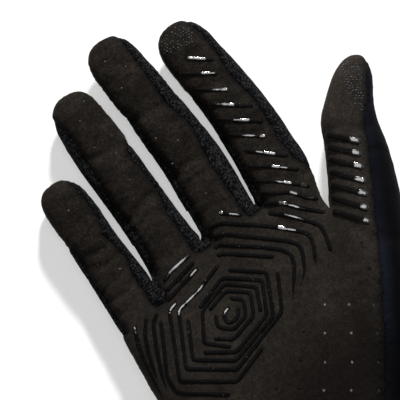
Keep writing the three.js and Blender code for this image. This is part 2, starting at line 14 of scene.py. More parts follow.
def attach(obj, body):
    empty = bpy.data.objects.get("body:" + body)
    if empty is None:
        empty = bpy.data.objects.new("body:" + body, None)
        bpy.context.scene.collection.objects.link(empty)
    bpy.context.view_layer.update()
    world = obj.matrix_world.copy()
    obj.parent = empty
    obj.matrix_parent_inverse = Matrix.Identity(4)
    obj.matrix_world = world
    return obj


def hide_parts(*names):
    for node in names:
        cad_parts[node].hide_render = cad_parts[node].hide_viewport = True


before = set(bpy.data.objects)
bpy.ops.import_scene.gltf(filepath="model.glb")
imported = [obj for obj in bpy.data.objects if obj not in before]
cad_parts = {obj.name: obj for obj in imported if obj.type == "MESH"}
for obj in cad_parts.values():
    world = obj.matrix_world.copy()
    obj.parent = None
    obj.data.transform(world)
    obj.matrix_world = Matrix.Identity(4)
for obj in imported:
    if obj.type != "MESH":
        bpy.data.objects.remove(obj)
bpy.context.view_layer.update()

# Driving dimensions, in millimetres, in the hand's own frame: fingers along +Y, palm up
MM = 0.001
ROW_ORIGIN = np.array([22.524, 3.74, 0.0])  # the row's origin, in the hand's frame
TURN = math.radians(33)  # of the thumb, and of the photograph's up direction, from the fingers
COS, SIN = math.cos(TURN), math.sin(TURN)
VOXEL = 0.7  # size of the fine surface's faces
CLOTH = 1.3  # thickness of the panels
SEAM_GAP = 0.16  # between two panels
PANEL_HEM_Y = -78
BINDING_Y = -98
MOUTH_Y = -101.9
FAR = 200  # further out than any part of the glove
SUNK = -0.8  # how low a limb's underside lies where the floor presses it flat


# The limbs

def curve(ys, values):
    """A smooth function through the values of one column."""
    ys, values = np.array(ys, float), np.array(values, float)
    last = len(ys) - 1
    before, after = np.maximum(np.arange(last + 1) - 1, 0), np.minimum(np.arange(last + 1) + 1, last)
    slopes = (values[after] - values[before]) / (ys[after] - ys[before])

    def at(y):
        y = np.clip(np.asarray(y, float), ys[0], ys[-1])
        i = np.clip(np.searchsorted(ys, y, side="right") - 1, 0, last - 1)
        step = ys[i + 1] - ys[i]
        t = (y - ys[i]) / step
        return (
            values[i] * (1 + 2 * t) * (1 - t) ** 2
            + slopes[i] * step * t * (1 - t) ** 2
            + values[i + 1] * t * t * (3 - 2 * t)
            + slopes[i + 1] * step * t * t * (t - 1)
        )

    return at


class Limb:
    """A loft through rows of y, left, right, top, bottom, and the widths of the left and right side strips,
    as in the part's source. Its tip is rounded off from the last row but one."""

    def __init__(self, rows, power=2.4, cap_power=2.6, cap_shift=0.0, turned=False):
        ys, *columns = zip(*rows)
        curves = [curve(ys, column) for column in columns]
        self.left, self.right, self.top, self.bottom, self.left_side, self.right_side = curves
        self.first, self.cap_from, self.tip = ys[0], ys[-2], ys[-1]
        self.power, self.cap_power, self.cap_shift, self.turned = power, cap_power, cap_shift, turned


# The height of the middle between palm side and back, along the hand
MID_ROWS = [(-110, 11.2), (-40, 10.6), (20, 9.2), (60, 8.7), (90, 9.8), (112, 11.2)]
mid_height = curve(*zip(*MID_ROWS))

HAND = Limb([
    (-102, -37.5, 37.5, 22.5, SUNK, -3, -3),
    (-78, -36.2, 36.4, 22.2, SUNK, -3, -3),
    (-60, -39.6, 42.0, 23.6, SUNK, -3, -3),
    (-38, -43.6, 48.8, 24.2, SUNK, -3, -3),
    (-14, -45.0, 52.0, 22.8, SUNK, -3, -3),
    (10, -43.4, 48.8, 18.6, SUNK, -3, -3),
    (26, -43.0, 48.4, 17.4, SUNK, -3, -3),
], power=3.0)
FINGERS = {
    "pinky": Limb([
        (4, -43.1, -22.6, 16.2, SUNK, 2, 4.6),
        (16, -43.0, -22.7, 16.2, SUNK, 2, 4.4),
        (28, -42.8, -22.9, 15.2, -0.6, 2, 4.5),
        (37, -42.8, -23.7, 14.2, -0.2, 2, 2.5),
        (48, -42.7, -24.6, 14.8, 0.4, 2, 3.8),
        (53, -42.7, -24.5, 14.7, 0.8, 0, 2.6),
        (62, -42.9, -24.9, 14.9, 1.4, -3, 2.1),
        (74.4, -43.7, -25.4, 15.4, 2.4, -3, 3.4),
    ]),
    "ring": Limb([
        (4, -21.8, 0.6, 17.6, SUNK, 3.6, 4.6),
        (20, -21.5, 0.9, 17.6, SUNK, 0.8, 4.6),
        (32, -21.1, 0.7, 16.6, -0.7, 3.3, 4.0),
        (42, -21.1, 0, 16.0, -0.4, 3.7, 3.8),
        (50, -21.3, -0.3, 15.4, -0.1, 2.8, 2),
        (60, -21.8, -0.8, 16.0, 0.6, 2.8, 2),
        (70, -22.6, -1.5, 15.8, 1.1, 4.3, 2),
        (76, -22.6, -1.6, 15.2, 1.5, 4.2, -3),
        (87, -22.1, -2.4, 16.0, 2.4, 3.4, -3),
        (100.1, -21.3, -2.8, 16.2, 3.6, -2.4, -3),
    ]),
    "middle": Limb([
        (4, 3.2, 26.0, 18.2, SUNK, 2.0, 5.4),
        (20, 3.0, 26.0, 18.0, SUNK, 2.0, 5.2),
        (32, 3.0, 26.2, 17.0, -0.7, 2.2, 5.5),
        (44, 3.1, 26.7, 16.6, -0.3, 2.8, 6.4),
        (52, 3.6, 26.6, 15.8, 0, 3.0, 6.1),
        (65, 3.3, 25.3, 16.4, 0.8, 2.0, 3.6),
        (77, 3.0, 24.0, 15.5, 1.6, 2.0, 5.4),
        (86, 1.9, 23.1, 16.2, 2.4, -3, 4.8),
        (97, 0.9, 21.1, 16.2, 3.4, -3, 3.3),
        (110, 1.1, 20.0, 16.6, 4.6, -3, 3.2),
    ]),
    "index": Limb([
        (4, 27.0, 47.6, 17.8, SUNK, 2.4, -3),
        (18, 27.0, 49.2, 17.8, SUNK, 2.4, -3),
        (26, 27.2, 51.4, 17.3, -0.7, 2.3, 0.2),
        (33, 27.6, 52.1, 16.8, -0.5, 2.2, 4.1),
        (42, 28.2, 51.9, 16.2, -0.2, 2.2, 4.9),
        (50, 28.4, 51.9, 15.6, 0.1, 2.0, 4.4),
        (60, 28.7, 51.3, 16.3, 0.7, 2.0, 4.2),
        (71, 28.2, 49.9, 15.5, 1.4, 2.0, 4.9),
        (79, 27.5, 48.9, 15.8, 1.9, -3, 4.1),
        (87, 26.7, 47.6, 16.0, 2.6, -3, 3.1),
        (100.6, 26.6, 45.9, 16.4, 3.8, -3, 4.4),
    ]),
}
THUMB = Limb([
    (-46, 52.0, 65.0, 20.0, 1, -3, 8.4),
    (-32, 49.0, 71.4, 24.2, SUNK, -3, 15.2),
    (-8, 44.0, 69.4, 26.6, SUNK, -3, 13.7),
    (14, 38.6, 66.4, 27.0, -0.5, -3, 12.0),
    (30, 35.6, 64.2, 25.6, 0.6, -3, 11.4),
    (43, 35.6, 61.9, 24.4, 2.0, -3, 10.4),
    (56, 34.4, 58.3, 23.4, 3.4, -3, 8.2),
    (68, 32.9, 53.8, 22.6, 4.8, -3, 5.4),
    (77, 34.9, 52.3, 22.0, 5.6, -3, 3.0),
    (92.6, 38.0, 52.8, 21.6, 7.4, -3, 3.6),
], cap_power=2.3, cap_shift=0.6, turned=True)
LIMBS = {"hand": HAND, **FINGERS, "thumb": THUMB}
# Each web between two fingers: left finger, right finger, and the corners of its bottom on the palm
WEBS = [
    ("pinky", "ring", -26.2, -21.9, 13.8),
    ("ring", "middle", -1.4, 3.2, 22.2),
    ("middle", "index", 21.8, 26.4, 23.4),
]
BACK_SEAM = [(51.5, 13), (44, 0), (38, -20), (31, -45), (24, -66), (21, -84)]
HOLLOW = {"x": 2, "y": -14, "halfWidth": 30, "halfLength": 48, "depth": 2.6}


def to_hand(x, y):
    return x * COS + y * SIN, -x * SIN + y * COS


def to_thumb(x, y):
    return x * COS - y * SIN, x * SIN + y * COS


def to_row(points):
    """From the hand's frame in millimetres to the row's frame in metres."""
    return (np.asarray(points, float) - ROW_ORIGIN) * MM


def section(limb, y):
    """The limb's centre, half width, middle height, and reach above and below it, at one or more y."""
    past = np.clip((y - limb.cap_from) / (limb.tip - limb.cap_from), 0, 1)
    shrink = np.maximum(0, 1 - past**limb.cap_power) ** (1 / limb.cap_power)
    left, right, top, bottom = (edge(y) for edge in (limb.left, limb.right, limb.top, limb.bottom))
    mid = (top + bottom) / 2 if limb.turned else mid_height(y)
    centre = (left + right) / 2 + limb.cap_shift * past**2
    return centre, (right - left) / 2 * shrink, mid, (top - mid) * shrink, (mid - bottom) * shrink


def palm_hollow(x, y):
    across = ((x - HOLLOW["x"]) / HOLLOW["halfWidth"]) ** 2
    along = ((y - HOLLOW["y"]) / HOLLOW["halfLength"]) ** 2
    return HOLLOW["depth"] * np.exp(-across - along)


AROUND = 120
STATION_STEP = 1.0
CAP_STATIONS = 16
CAP_END = 0.9995  # how much of the way to the tip the last ring lies
OPEN_OVERRUN = 5  # how far the skin runs past the mouth before it is cut there
UNDER_POWER = 3.2


def limb_loft(limb):
    """The limb's rings, as an array of stations by points by three."""
    overrun = OPEN_OVERRUN if limb is HAND else 0
    stations = np.arange(limb.first - overrun, limb.cap_from, STATION_STEP)
    cap = np.sin(np.linspace(0, math.pi / 2, CAP_STATIONS)) * CAP_END
    stations = np.concatenate([stations, limb.cap_from + cap * (limb.tip - limb.cap_from)])
    angle = 2 * math.pi * (np.arange(AROUND) + 0.5) / AROUND
    cos, sin = np.cos(angle), np.sin(angle)
    power = np.where(sin > 0, limb.power, UNDER_POWER)
    wide = np.sign(cos) * np.abs(cos) ** (2 / power)
    high = np.abs(sin) ** (2 / power)
    centre, half, mid, above, below = (v[:, None] for v in section(limb, stations))
    x = centre + half * wide
    y = np.repeat(stations[:, None], AROUND, axis=1)
    if limb.turned:
        x, y = to_hand(x, y)
    z = np.where(sin > 0, mid + above * high - palm_hollow(x, y) * high, mid - below * high)
    return np.stack([x, y, z], axis=2)


# Meshes

def loft_faces(rings, around, start):
    """The faces between rings of points, and a cap at each end."""
    faces = []
    for r in range(rings - 1):
        for k in range(around):
            a, b = start + r * around + k, start + r * around + (k + 1) % around
            faces.append((a, b, b + around, a + around))
    faces.append([start + k for k in reversed(range(around))])
    faces.append([start + (rings - 1) * around + k for k in range(around)])
    return faces


def linked(name, data):
    obj = bpy.data.objects.new(name, data)
    bpy.context.scene.collection.objects.link(obj)
    return obj


def new_object(name, points, faces):
    """A mesh object from points in the hand's frame."""
    mesh = bpy.data.meshes.new(name)
    mesh.from_pydata(to_row(points).tolist(), [], faces)
    mesh.update()
    return linked(name, mesh)


def bake(obj):
    """Puts what the modifiers make into the mesh."""
    graph = bpy.context.evaluated_depsgraph_get()
    made = bpy.data.meshes.new_from_object(obj.evaluated_get(graph))
    old = obj.data
    obj.modifiers.clear()
    obj.data = made
    bpy.data.meshes.remove(old)
    return obj


@contextmanager
def editing(mesh):
    work = bmesh.new()
    work.from_mesh(mesh)
    yield work
    work.to_mesh(mesh)
    work.free()


def read(items, name, width, kind=np.float32):
    """One value of a mesh's points, edges or corners, as an array with a row for each."""
    flat = np.empty(len(items) * width, kind)
    items.foreach_get(name, flat)
    return flat.reshape(-1, width)


def positions(mesh):
    """The mesh's points in the hand's frame."""
    return read(mesh.vertices, "co", 3).astype(float) / MM + ROW_ORIGIN


def edge_ends(mesh):
    return read(mesh.edges, "vertices", 2, np.int32).T


def move_to(mesh, points):
    mesh.vertices.foreach_set("co", to_row(points).astype(np.float32).ravel())
    mesh.update()


def relax(mesh, share, rounds):
    """Moves each point by its share of the way to the middle of its neighbours, in some rounds."""
    points = positions(mesh)
    a, b = edge_ends(mesh)
    moving = (share[a] > 0) | (share[b] > 0)
    used, places = np.unique(np.concatenate([a[moving], b[moving]]), return_inverse=True)
    a, b = np.split(places, 2)
    local, share = points[used], share[used][:, None]
    count = (np.bincount(a, minlength=len(used)) + np.bincount(b, minlength=len(used)))[:, None]
    for _ in range(rounds):
        total = [np.bincount(a, v[b], len(used)) + np.bincount(b, v[a], len(used)) for v in local.T]
        local += share * (np.stack(total, axis=1) / count - local)
    points[used] = local
    move_to(mesh, points)


# Seams in plan

def seam_x(limb, y, side):
    if side == "left":
        return limb.left(y) + limb.left_side(y)
    return limb.right(y) - limb.right_side(y)


SEAM_STEP = 0.7  # between two points of a seam
SEAM_WANDER = 0.6  # how far a seam strays sideways from its smooth line
SEAM_WAVES = [(1, 0.42, 0), (0.7, 1.3, 3)]  # strength, how fast it changes along the seam, and seed


def seam_points(limb, side, low, high):
    ys = np.linspace(low, high, max(2, int((high - low) / SEAM_STEP)))
    seed = limb.tip + (7 if side == "left" else 0)
    wander = [sum(wave * noise.noise((y * pace, seed, z)) for wave, pace, z in SEAM_WAVES) for y in ys]
    xs = seam_x(limb, ys, side) + SEAM_WANDER * np.array(wander)
    if limb.turned:
        xs, ys = to_hand(xs, ys)
    return list(zip(xs.tolist(), ys.tolist()))


TIP_CLEARANCE = 6
OUTSIDE = 8  # how far outside the glove an outline runs where it has no seam
FIRST_SEAM_Y = 12
LAST_SEAM_Y = 24.5
ABOVE_WEB = 2
HAND_EDGE_X = 50.9  # of the palm, beside the root of the index finger
OUTER_CORNER = [(-45 - OUTSIDE, PANEL_HEM_Y - OUTSIDE), (-45 - OUTSIDE, 10)]


def finger_outline():
    outline = []
    for name, finger in FINGERS.items():
        before = next((web for web in WEBS if web[1] == name), None)
        after = next((web for web in WEBS if web[0] == name), None)
        low_left = before[4] + ABOVE_WEB if before else FIRST_SEAM_Y
        low_right = after[4] + ABOVE_WEB if after else LAST_SEAM_Y
        left = seam_points(finger, "left", low_left, finger.tip)
        right = seam_points(finger, "right", low_right, finger.tip)[::-1]
        high = finger.tip + TIP_CLEARANCE
        outline += left + [(left[-1][0], high), (right[0][0], high)] + right
        if after:
            outline += [(after[2], after[4]), (after[3], after[4])]
    return outline


@cache
def palm_outline():
    seam = seam_points(THUMB, "right", THUMB.first, THUMB.tip)[::-1]
    past_thumb = [
        (HAND_EDGE_X + OUTSIDE / 2, 27),
        to_hand(33 - OUTSIDE / 2, 66),
        to_hand(34, THUMB.tip + OUTSIDE),
        to_hand(float(seam_x(THUMB, THUMB.tip, "right")), THUMB.tip + OUTSIDE),
    ]
    foot = [(24.5, PANEL_HEM_Y + 4), (23.5, PANEL_HEM_Y - OUTSIDE)]
    return OUTER_CORNER + finger_outline() + past_thumb + seam + foot


@cache
def back_outline():
    return OUTER_CORNER + finger_outline() + [(HAND_EDGE_X + OUTSIDE / 2, 24)] + BACK_SEAM


def grown(outline, distance):
    """Moves a clockwise outline outward."""
    made = []
    for i, point in enumerate(outline):
        total = Vector((0, 0))
        for a, b in ((outline[i - 1], point), (point, outline[(i + 1) % len(outline)])):
            along = Vector(b) - Vector(a)
            total += Vector((-along.y, along.x)).normalized()
        made.append(tuple(Vector(point) + total * (2 * distance / max(0.8, total.length_squared))))
    return made


def seam_distance(outline, points, closed=True):
    """Each point's signed distance in plan to an outline, over zero inside, and how far along it lies."""
    x, y = points.T[:2]
    best = np.full(len(points), np.inf)
    along = np.zeros(len(points))
    inside = np.zeros(len(points), bool)
    run = 0.0
    pairs = zip(outline, outline[1:] + outline[:1] if closed else outline[1:])
    for (ax, ay), (bx, by) in pairs:
        dx, dy = bx - ax, by - ay
        length = math.hypot(dx, dy)
        t = np.clip(((x - ax) * dx + (y - ay) * dy) / length**2, 0, 1)
        distance = np.hypot(x - ax - t * dx, y - ay - t * dy)
        nearer = distance < best
        best[nearer] = distance[nearer]
        along[nearer] = run + t[nearer] * length
        if dy:
            crossed = (ay > y) != (by > y)
            inside ^= crossed & (x < ax + (y - ay) / dy * dx)
        run += length
    return np.where(inside, best, -best), along


# The skin: all limbs joined, smoothed, creased and drawn in along the seams

def noise_at(points, scale, seed):
    """Smooth noise from about -1 to 1, with features about scale millimetres wide on each axis."""
    scaled = points / np.array(scale) + seed
    return np.array([noise.noise(p) for p in scaled.tolist()])


# Soft folds across the fingers where they bend: limb, y, depth, half width, slant
FOLDS = [
    ("pinky", 44, 0.7, 1.7, 0.15),
    ("pinky", 38.5, 0.45, 1.3, -0.1),
    ("pinky", 31, 0.55, 1.3, 0.3),
    ("pinky", 25.5, 0.6, 1.6, 0.2),
    ("pinky", 20.5, 0.4, 1.4, 0.3),
    ("ring", 49, 1.0, 1.7, 0.25),
    ("ring", 43.5, 0.5, 1.4, 0.05),
    ("ring", 74, 0.45, 1.7, -0.15),
    ("ring", 28, 0.55, 2.0, 0.1),
    ("middle", 52.5, 0.8, 2.0, 0.1),
    ("middle", 47, 0.45, 1.3, 0.2),
    ("middle", 77, 0.5, 1.8, -0.15),
    ("middle", 34, 0.5, 2.0, 0.1),
    ("index", 49.5, 0.5, 1.8, -0.3),
    ("index", 72, 0.4, 1.8, -0.3),
    ("index", 29, 0.4, 2.0, -0.35),
    ("thumb", 65, 0.5, 2.2, 0.1),
    ("thumb", 58, 0.3, 1.6, -0.2),
    ("thumb", 25, 0.5, 2.6, -0.25),
]
FINGERS_FROM_Y = 20  # the folds of a finger reach a little below it
FOLD_WANDER = 0.8
FOLD_WAVE = 0.45
MARGIN = 1.6  # how far outside its loft the cloth of a finger may lie
THUMB_MARGIN = 1.5


def limb_share(points):
    """Which limb each point belongs to, and its place across that limb, from -1 to 1."""
    x, y, _ = points.T
    owner = np.full(len(points), "hand", dtype="<U6")
    centre, half = section(HAND, np.minimum(y, HAND.cap_from))[:2]
    across = (x - centre) / half
    for name, finger in FINGERS.items():
        centre, half = section(finger, np.minimum(y, finger.cap_from))[:2]
        mine = (y > FINGERS_FROM_Y) & (np.abs(x - centre) < half + MARGIN)
        owner[mine] = name
        across[mine] = ((x - centre) / half)[mine]
    tx, ty = to_thumb(x, y)
    centre, half = section(THUMB, np.minimum(ty, THUMB.cap_from))[:2]
    # the thumb's root leaves the hand along a slanting line
    right_of_hand = x > np.minimum(52, 24 + 0.36 * (y - PANEL_HEM_Y))
    mine = (np.abs(tx - centre) < half + THUMB_MARGIN) & right_of_hand & (owner == "hand")
    owner[mine] = "thumb"
    across[mine] = ((tx - centre) / half)[mine]
    return owner, np.clip(across, -1, 1)


def fold_depth(points, facing):
    owner, _ = limb_share(points)
    depth = np.zeros(len(points))
    in_hand = points.T[:2]
    in_thumb = to_thumb(*in_hand)
    for name, y0, deep, width, slant in FOLDS:
        limb = LIMBS[name]
        x, y = in_thumb if limb.turned else in_hand
        line = y0 + slant * (x - float(section(limb, y0)[0])) + FOLD_WANDER * np.sin(x * FOLD_WAVE + y0)
        mine = (owner == name) | ((owner == "hand") & (not limb.turned) & (y > FINGERS_FROM_Y - 2))
        depth += mine * deep * np.exp(-(((y - line) / width) ** 2)) * facing
    return depth


SMOOTHING_ROUNDS = 8
SMOOTHING_LOSS = 0.42  # what the smoothing takes off the sides and tips
# The valley between palm and thumb, which the loose cloth bridges
CREASE = [(46.5, 8.0), (33.7, -48.9), (27.5, -74)]
CREASE_WIDTH = 11.0
CREASE_ROUNDS = 260
RELAX_SHARE = 0.5  # of the way to the middle of a point's neighbours, in one round

SEAM_DEPTH = 0.5
SEAM_WIDTH = 1.15
PUCKER_DEPTH = 0.16
PUCKER_STEP = 2.3
PUCKER_REACH = 2.2  # in widths of a seam
KNIT_SINK = 0.28
KNIT_EDGE = 0.8  # how far past its seam the knit lies at its full depth
RESTS_BELOW = 2.5  # nearer to the floor than this the cloth is held more and more
# The cloth's slack and its small wrinkles: depth, size on each axis and seed of the noise
SLACK = [(0.34, (15, 15, 15), 3.1), (0.14, (6, 3.6, 6), 11.7)]
WRINKLES = (0.10, (2.6, 1.7, 2.6), 5.3)
WRINKLE_REACH = 4  # how far from a seam the wrinkles are stronger
AWAY_FROM_SEAM = 0.4  # how much of them is left there
FOLDS_FACE = 1.4  # folds are full where this times the upward part of the normal passes 1


def glove_skin():
    points, faces = [], []
    for limb in LIMBS.values():
        rings = limb_loft(limb)
        faces += loft_faces(len(rings), AROUND, sum(len(p) for p in points))
        points.append(rings.reshape(-1, 3))
    skin = new_object("skin", np.concatenate(points), faces)
    remesh = skin.modifiers.new("remesh", "REMESH")
    remesh.mode = "VOXEL"
    remesh.voxel_size = VOXEL * MM
    bake(skin)
    relax(skin.data, np.full(len(skin.data.vertices), RELAX_SHARE), SMOOTHING_ROUNDS)
    relax(skin.data, crease_share(skin.data), CREASE_ROUNDS)
    shape_skin(skin.data)
    return skin


def crease_share(mesh):
    """How much the palm's side is smoothed along the valley, until it is as shallow as stretched cloth."""
    points = positions(mesh)
    distance, _ = seam_distance(CREASE, points, closed=False)
    share = np.clip((CREASE_WIDTH - np.abs(distance)) / (0.6 * CREASE_WIDTH), 0, 1) * RELAX_SHARE
    share[points[:, 2] < mid_height(points[:, 1]) + 1] = 0
    return share


# The narrow ends of the gaps beside the fingers: y, x, half width, and half width in the lofts
SLITS = [
    [(38, -22.3, 1.2, 1.3), (31, -22.1, 0.7, 0.95), (27, -22.1, 0.42, 0.8), (24.5, -22.3, 0.3, 0.7),
     (23.0, -22.6, 0.12, 0.7)],
    [(38, 2.0, 1.3, 1.35), (32, 2.0, 0.95, 1.15), (30, 2.1, 0.62, 1.15), (28.6, 2.4, 0.36, 1.15),
     (27, 1.9, 0.3, 1.15), (25.6, 0.9, 0.14, 1.15)],
    [(53, 27.6, 0.8, 0.8), (46, 27.5, 0.7, 0.75), (41.5, 27.3, 0.64, 0.75), (37, 26.95, 0.6, 0.7),
     (30.5, 26.45, 0.54, 0.7), (27.5, 26.25, 0.4, 0.7), (26.0, 26.0, 0.18, 0.7)],
    [(16, 50.4, 1.5, 1.5), (12.2, 49.4, 0.75, 0.75), (9.4, 48.9, 0.12, 0.12)],
]
SLIT_STEP = 0.7
SLIT_REACH = 3.0  # how far from a slit the cloth is kept from crossing it
SLIT_CLEARANCE = 0.08
SLIT_RAGGEDNESS = 0.14
SLIT_LEAST = 0.05  # half width


def slit_line(rows, ys):
    """A slit's middle and its two half widths at some places along it."""
    levels = [-row[0] for row in rows]
    return tuple(np.interp(-ys, levels, [row[i] for row in rows]) for i in (1, 2, 3))


def shape_skin(mesh):
    """Draws the cloth in along its seams and folds, and lets it hang slack between them."""
    points, normal = positions(mesh), read(mesh.vertices, "normal", 3).astype(float)
    x, y, z = points.T.copy()
    facing = np.clip(normal[:, 2] * FOLDS_FACE, 0, 1)
    side_height = z - mid_height(y)
    palm_side = side_height > 0
    palm_seam, palm_run = seam_distance(palm_outline(), points)
    back_seam, back_run = seam_distance(back_outline(), points)
    seam = np.where(palm_side, palm_seam, back_seam)
    run = np.where(palm_side, palm_run, back_run)
    above_hem = y > PANEL_HEM_Y
    hem = np.abs(y - PANEL_HEM_Y)
    near = np.where(above_hem, np.minimum(np.abs(seam), hem), hem)
    plain_side = (palm_seam > 0) & (back_seam > 0) & above_hem
    near = np.where(plain_side, np.minimum(near, np.abs(side_height)), near)
    valley = np.exp(-((near / SEAM_WIDTH) ** 2))
    beside_seam = np.exp(-((near / (PUCKER_REACH * SEAM_WIDTH)) ** 2))
    pucker = beside_seam * (0.5 + 0.5 * np.cos(2 * math.pi * run / PUCKER_STEP))
    knit = above_hem & (palm_seam < 0)
    slack, fine_slack, wrinkle = (
        depth * noise_at(points, size, seed) for depth, size, seed in [*SLACK, WRINKLES]
    )
    wrinkle = wrinkle * (AWAY_FROM_SEAM + (1 - AWAY_FROM_SEAM) * np.exp(-((near / WRINKLE_REACH) ** 2)))
    smoothing = SMOOTHING_LOSS * (1 - normal[:, 2] ** 2)
    lift = slack + fine_slack + wrinkle - fold_depth(points, facing) + smoothing
    lift -= SEAM_DEPTH * valley + PUCKER_DEPTH * pucker
    lift -= np.where(knit, KNIT_SINK * np.clip(-palm_seam / KNIT_EDGE, 0, 1), 0)
    points += normal * (lift * np.clip(z / RESTS_BELOW, 0, 1))[:, None]
    for rows in SLITS:
        middle, half, lofted = slit_line(rows, y)
        side, off = np.sign(x - middle), np.abs(x - middle)
        near = (off < SLIT_REACH + lofted) & (y < rows[0][0]) & (y > rows[-1][0])
        drawn = (lofted - half) * np.clip(1 - (off - lofted) / SLIT_REACH, 0, 1) * (off > 0.6 * lofted)
        kept = np.maximum((points[:, 0] - middle) * side - drawn, np.minimum(off, half + SLIT_CLEARANCE))
        points[:, 0] = np.where(near, middle + side * kept, points[:, 0])
    points[:, 2] = np.maximum(points[:, 2], 0)
    move_to(mesh, points)


# Cutting the skin along its seams

KEEP, CUT = 0, 1  # the material slots of the cloth's own faces, and of those that a cutting solid leaves


def mark_faces(obj, slot):
    obj.data.polygons.foreach_set("material_index", [slot] * len(obj.data.polygons))


def add_cut_slots(obj):
    for name in ("keep", "cut"):
        obj.data.materials.append(bpy.data.materials.get(name) or bpy.data.materials.new(name))


def cutter(obj):
    with editing(obj.data) as work:
        bmesh.ops.recalc_face_normals(work, faces=work.faces)
        bmesh.ops.triangulate(work, faces=work.faces)
    add_cut_slots(obj)
    mark_faces(obj, CUT)
    return obj


def prism(outline, low=-FAR, high=FAR):
    points = [(x, y, z) for z in (low, high) for x, y in outline]
    # the outline runs clockwise, seen from above
    return cutter(new_object("prism", points, [face[::-1] for face in loft_faces(2, len(outline), 0)]))


def slit(rows, narrower=0.0):
    """A thin upright block that parts two fingers down to the web. Cloth stays on its walls."""
    ys = np.arange(rows[0][0], rows[-1][0], -SLIT_STEP)
    x, half, _ = slit_line(rows, ys)
    ragged = [[SLIT_RAGGEDNESS * noise.noise((y * 0.9, side, rows[0][1])) for y in ys] for side in (0, 9)]
    half = np.maximum(half - narrower, SLIT_LEAST)
    left = list(zip(x - half + ragged[0], ys))
    right = list(zip(x + half + ragged[1], ys))
    block = prism(left + right[::-1], -5, 40)
    mark_faces(block, KEEP)
    return block


def half_space(above, offset):
    """All that lies above, or below, the height of the side seams plus an offset."""
    edge = [(y, z + offset) for y, z in MID_ROWS]
    edge = [(-FAR, edge[0][1])] + edge + [(FAR, edge[-1][1])]
    far = FAR if above else -FAR
    edge += [(FAR, far), (-FAR, far)]
    points = [(x, y, z) for x in (-FAR, FAR) for y, z in edge]
    return cutter(new_object("half_space", points, loft_faces(2, len(edge), 0)))


def slab(low_y, high_y):
    return prism([(-FAR, low_y), (-FAR, high_y), (FAR, high_y), (FAR, low_y)])


def boolean(obj, other, operation="INTERSECT"):
    modifier = obj.modifiers.new("boolean", "BOOLEAN")
    modifier.operation = operation
    modifier.solver = "MANIFOLD"
    modifier.object = other
    bake(obj)
    bpy.data.objects.remove(other)
    return obj


# Panels: each is a sheet of the skin, thickened inward

HOLE_RADIUS = 0.6
FINGER_HOLE_RADIUS = 0.38
HEEL_HOLES = [
    (21.6, [47.2]),
    (11.7, [50.3]),
    (-1.3, [33.7, 42.8, 52]),
    (-12, [25.4, 33.7, 43.6, 53.4]),
    (-23, [24.6, 33.7, 43.9, 53.8]),
    (-33.6, [15.2, 23.9, 33.3, 43.6, 54]),
    (-44, [5, 14.5, 23.9, 33.6, 43.6]),
    (-54.5, [5, 14.5, 24, 33.6]),
]
FINGER_HOLES = [
    (-34.3, 62.8), (-34.7, 51), (-36, 39.7), (-30, 33.7),
    (-12.2, 88.8), (-7, 94.3), (-13, 77.5), (-7.2, 71.3), (-8.5, 60), (-15.2, 55), (-9.7, 49),
    (-15.8, 43.5), (-11, 38.7), (-7, 32.8),
    (8, 102.5), (13.5, 96.7), (7.8, 90.7), (14.7, 74), (8.3, 67.8), (14.8, 62.5), (8.3, 56.3),
    (14.3, 51), (9, 45), (12.8, 40), (17, 34.2),
]
HOLE_SIDES = 12
DRILL_ENDS = (12, 40)


def hole_centres():
    heel = [(*to_hand(x, y), HOLE_RADIUS) for y, xs in HEEL_HOLES for x in xs]
    return heel + [(x, y, FINGER_HOLE_RADIUS) for x, y in FINGER_HOLES]


def drills():
    """One mesh of upright drills, one through each air hole."""
    points, faces = [], []
    for x, y, radius in hole_centres():
        faces += loft_faces(2, HOLE_SIDES, len(points))
        for z in DRILL_ENDS:
            for k in range(HOLE_SIDES):
                angle = 2 * math.pi * k / HOLE_SIDES
                points.append((x + radius * math.cos(angle), y + radius * math.sin(angle), z))
    return cutter(new_object("drills", points, faces))


def open_sheet(obj):
    """Takes away the faces that the cutting solids left."""
    with editing(obj.data) as work:
        bmesh.ops.delete(work, geom=[f for f in work.faces if f.material_index == CUT], context="FACES")
    obj.data.materials.clear()


def islands(mesh):
    """The mesh's loose parts, as one label for each point."""
    a, b = edge_ends(mesh)
    label = np.arange(len(mesh.vertices))
    while True:
        lower = np.minimum(label[a], label[b])
        fresh = label.copy()
        np.minimum.at(fresh, a, lower)
        np.minimum.at(fresh, b, lower)
        fresh = fresh[fresh]
        if np.array_equal(fresh, label):
            return label
        label = fresh


def keep_points(obj, mask):
    with editing(obj.data) as work:
        lost = [v for v, keep in zip(work.verts, mask) if not keep]
        bmesh.ops.delete(work, geom=lost, context="VERTS")
    return obj


def biggest_island(obj):
    label = islands(obj.data)
    values, counts = np.unique(label, return_counts=True)
    return keep_points(obj, label == values[np.argmax(counts)])


UV_SCALE = 0.01  # for each millimetre
TOP_HEIGHT = 18  # from which the cloth's drop is measured on the palm's side


def map_cloth(obj):
    """A UV map in millimetres: across the limb and down its sides, and along it. The knits follow it."""
    points = positions(obj.data)
    x, y, z = points.T
    owner, across = limb_share(points)
    drop = np.where(z > mid_height(y), TOP_HEIGHT - z, z)
    x, y = np.where(owner == "thumb", to_thumb(x, y), (x, y))
    corners = read(obj.data.loops, "vertex_index", 1, np.int32)[:, 0]
    cloth = np.stack([x + across**3 * drop, y], axis=1)[corners] * UV_SCALE
    obj.data.uv_layers.new(name="cloth").data.foreach_set("uv", cloth.astype(np.float32).ravel())


def mark_points(obj, name, values):
    obj.data.attributes.new(name, "FLOAT", "POINT").data.foreach_set("value", values)


def dress(obj, material, node=None, smooth=True):
    """Gives a piece its material and its place in the frame."""
    obj.data.polygons.foreach_set("use_smooth", [smooth] * len(obj.data.polygons))
    obj.data.materials.append(material)
    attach(obj, "root")
    if node:
        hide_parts(node)


